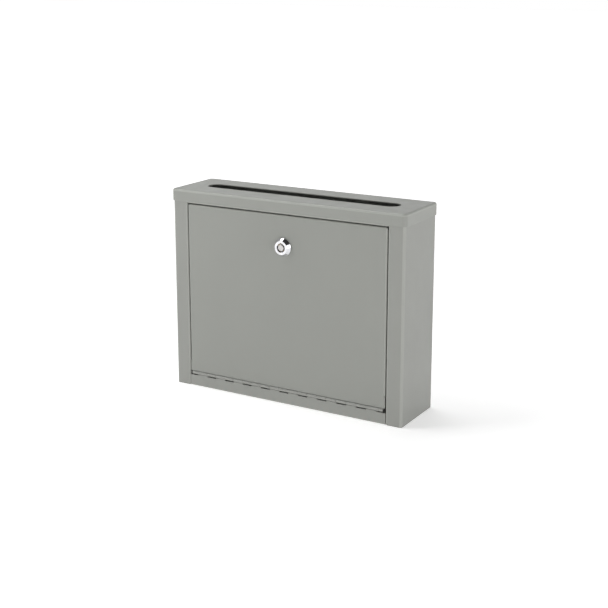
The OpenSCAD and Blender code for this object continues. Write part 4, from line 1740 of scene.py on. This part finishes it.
@dataclass
class Studio:
    """The camera, the pale floor and the soft lights."""

    camera_at: Colour = (0.6956, -1.17585, 0.4992)
    heading_deg: float = 30.415
    down_deg: float = 12.945
    lens_mm: float = 71.52
    frame_shift: float = -0.1
    floor_reach: float = 12.0
    floor_glow: tuple[float, ...] = (0.6, 2.2, 0.5, 1.0)
    ceiling: tuple[float, ...] = (0.15, 0.6, 1.0, 0.04)
    lamp_table: tuple[tuple[str, Colour, float, float], ...] = (
        ("left_lamp", (-0.85, -0.75, 0.75), 0.5, 2.4),
        ("side_lamp", (2.0, -0.6, 0.6), 1.0, 6.0),
        ("top_lamp", (-0.5, 0.5, 2.2), 1.2, 15.0),
        ("edge_lamp", (-0.78, -0.32, 1.6), 0.8, 8.0),
        ("corner_lamp", (1.25, -0.85, 0.12), 0.4, 0.8),
    )

    def build(self) -> None:
        """Makes the camera, the floor, the world and the lamps."""
        self.camera()
        self.floor()
        self.world()
        self.lamps()

    def camera(self) -> None:
        """Sets the camera at its place, turned left and down by its two angles."""
        data = bpy.data.cameras.new("camera")
        data.lens, data.sensor_width, data.shift_y = self.lens_mm, 36.0, self.frame_shift
        camera = placed("camera", data)
        heading, down = math.radians(self.heading_deg), math.radians(self.down_deg)
        camera.location = self.camera_at
        camera.rotation_euler = (math.pi / 2 - down, 0, heading)
        bpy.context.scene.camera = camera

    def floor(self) -> None:
        """A wide pale floor with a faint mottle, lit from below like a light table.

        Its glow grows with the distance from the box, from the third to the fourth value of
        floor_glow between the distances that the first two give.
        """
        graph = Graph("studio_floor")
        graph.put("Base Color", graph.blend(graph.noise(3.0, 3.0), (0.90, 0.90, 0.90), (0.93, 0.93, 0.93)))
        distance = graph.node("ShaderNodeVectorMath", operation="LENGTH")
        graph.link(graph.place, distance.inputs[0])
        start, end, near, far = self.floor_glow
        graph.put("Emission Strength", graph.remap(distance.outputs["Value"], near, far, start, end))
        graph.fixed(roughness=0.8, specular_ior_level=0.2, emission_color=(1, 1, 1, 1))
        steps = np.linspace(-self.floor_reach, self.floor_reach, 9)
        x, y = np.meshgrid(steps, steps, indexing="ij")
        points = np.stack([x, y, 0 * x], axis=-1)
        ground = mesh_piece("studio_floor", points, grid_faces(9, 9))
        ground.data.materials.append(graph.material)

    def world(self) -> None:
        """White light from the sides that falls off smoothly towards a dim ceiling."""
        world = bpy.data.worlds.new("studio")
        world.use_nodes = True
        bpy.context.scene.world = world
        tree = world.node_tree
        background = tree.nodes["Background"]
        background.inputs["Color"].default_value = (1, 1, 1, 1)
        split = tree.nodes.new("ShaderNodeSeparateXYZ")
        tree.links.new(tree.nodes.new("ShaderNodeTexCoord").outputs["Generated"], split.inputs["Vector"])
        fall = tree.nodes.new("ShaderNodeMapRange")
        fall.interpolation_type = "SMOOTHSTEP"
        for name, value in zip(("From Min", "From Max", "To Min", "To Max"), self.ceiling):
            fall.inputs[name].default_value = value
        tree.links.new(split.outputs["Z"], fall.inputs["Value"])
        tree.links.new(fall.outputs["Result"], background.inputs["Strength"])
        bpy.context.scene.view_settings.view_transform = "Standard"

    def lamps(self) -> None:
        """Round soft lamps, each aimed at the middle of the box."""
        target = np.array([0, 0, 0.12])
        for name, place, size, power in self.lamp_table:
            data = bpy.data.lights.new(name, "AREA")
            data.shape, data.size, data.energy = "DISK", size, power
            lamp = placed(name, data)
            lamp.location = place
            way = Vector(target - np.array(place))
            lamp.rotation_euler = way.to_track_quat("-Z", "Y").to_euler()


# ---- the whole box ----


def finishes() -> dict[Slot, Enamel | Metal]:
    """The finish of each slot.

    Returns:
        The finishes.
    """
    axis = lock_axis()
    return {
        Slot.CASE: Enamel("platinum_case_enamel", (0.283, 0.288, 0.267)),
        Slot.CAP: Enamel("platinum_cap_enamel", (0.288, 0.296, 0.272), roughness=0.38),
        Slot.DOOR: Enamel("platinum_door_enamel", (0.278, 0.285, 0.262)),
        Slot.HINGE: Enamel("platinum_hinge_enamel", (0.272, 0.276, 0.256), weld_pitch=0.0508,
                           weld_rows=(0.0265, 0.0080)),
        Slot.CHROME: Metal("bright_chrome", (0.78, 0.78, 0.80), (0.72, 0.72, 0.74), 0.10,
                           Grain.TURNED, axis, 0.002 * MM),
        Slot.STEEL: Metal("nickelled_steel", (0.58, 0.57, 0.56), (0.50, 0.49, 0.48), 0.26,
                          Grain.TURNED, axis),
        Slot.BRASS: Metal("turned_brass", (0.74, 0.55, 0.26), (0.62, 0.44, 0.19), 0.28,
                          Grain.TURNED, axis),
        Slot.ZINC: Metal("zinc_plated_steel", (0.60, 0.61, 0.62), (0.52, 0.52, 0.49), 0.32,
                         Grain.ROLLED, axis),
    }


def main() -> None:
    """Builds the studio and every sub-assembly."""
    logging.basicConfig(level=logging.INFO, format="%(name)s: %(message)s")
    Studio().build()
    shop = Workshop(finishes())
    for assembly in (Case(), Cap(), Door(), Hinge(), Lock()):
        assembly.build(shop)


if __name__ == "__main__":
    main()
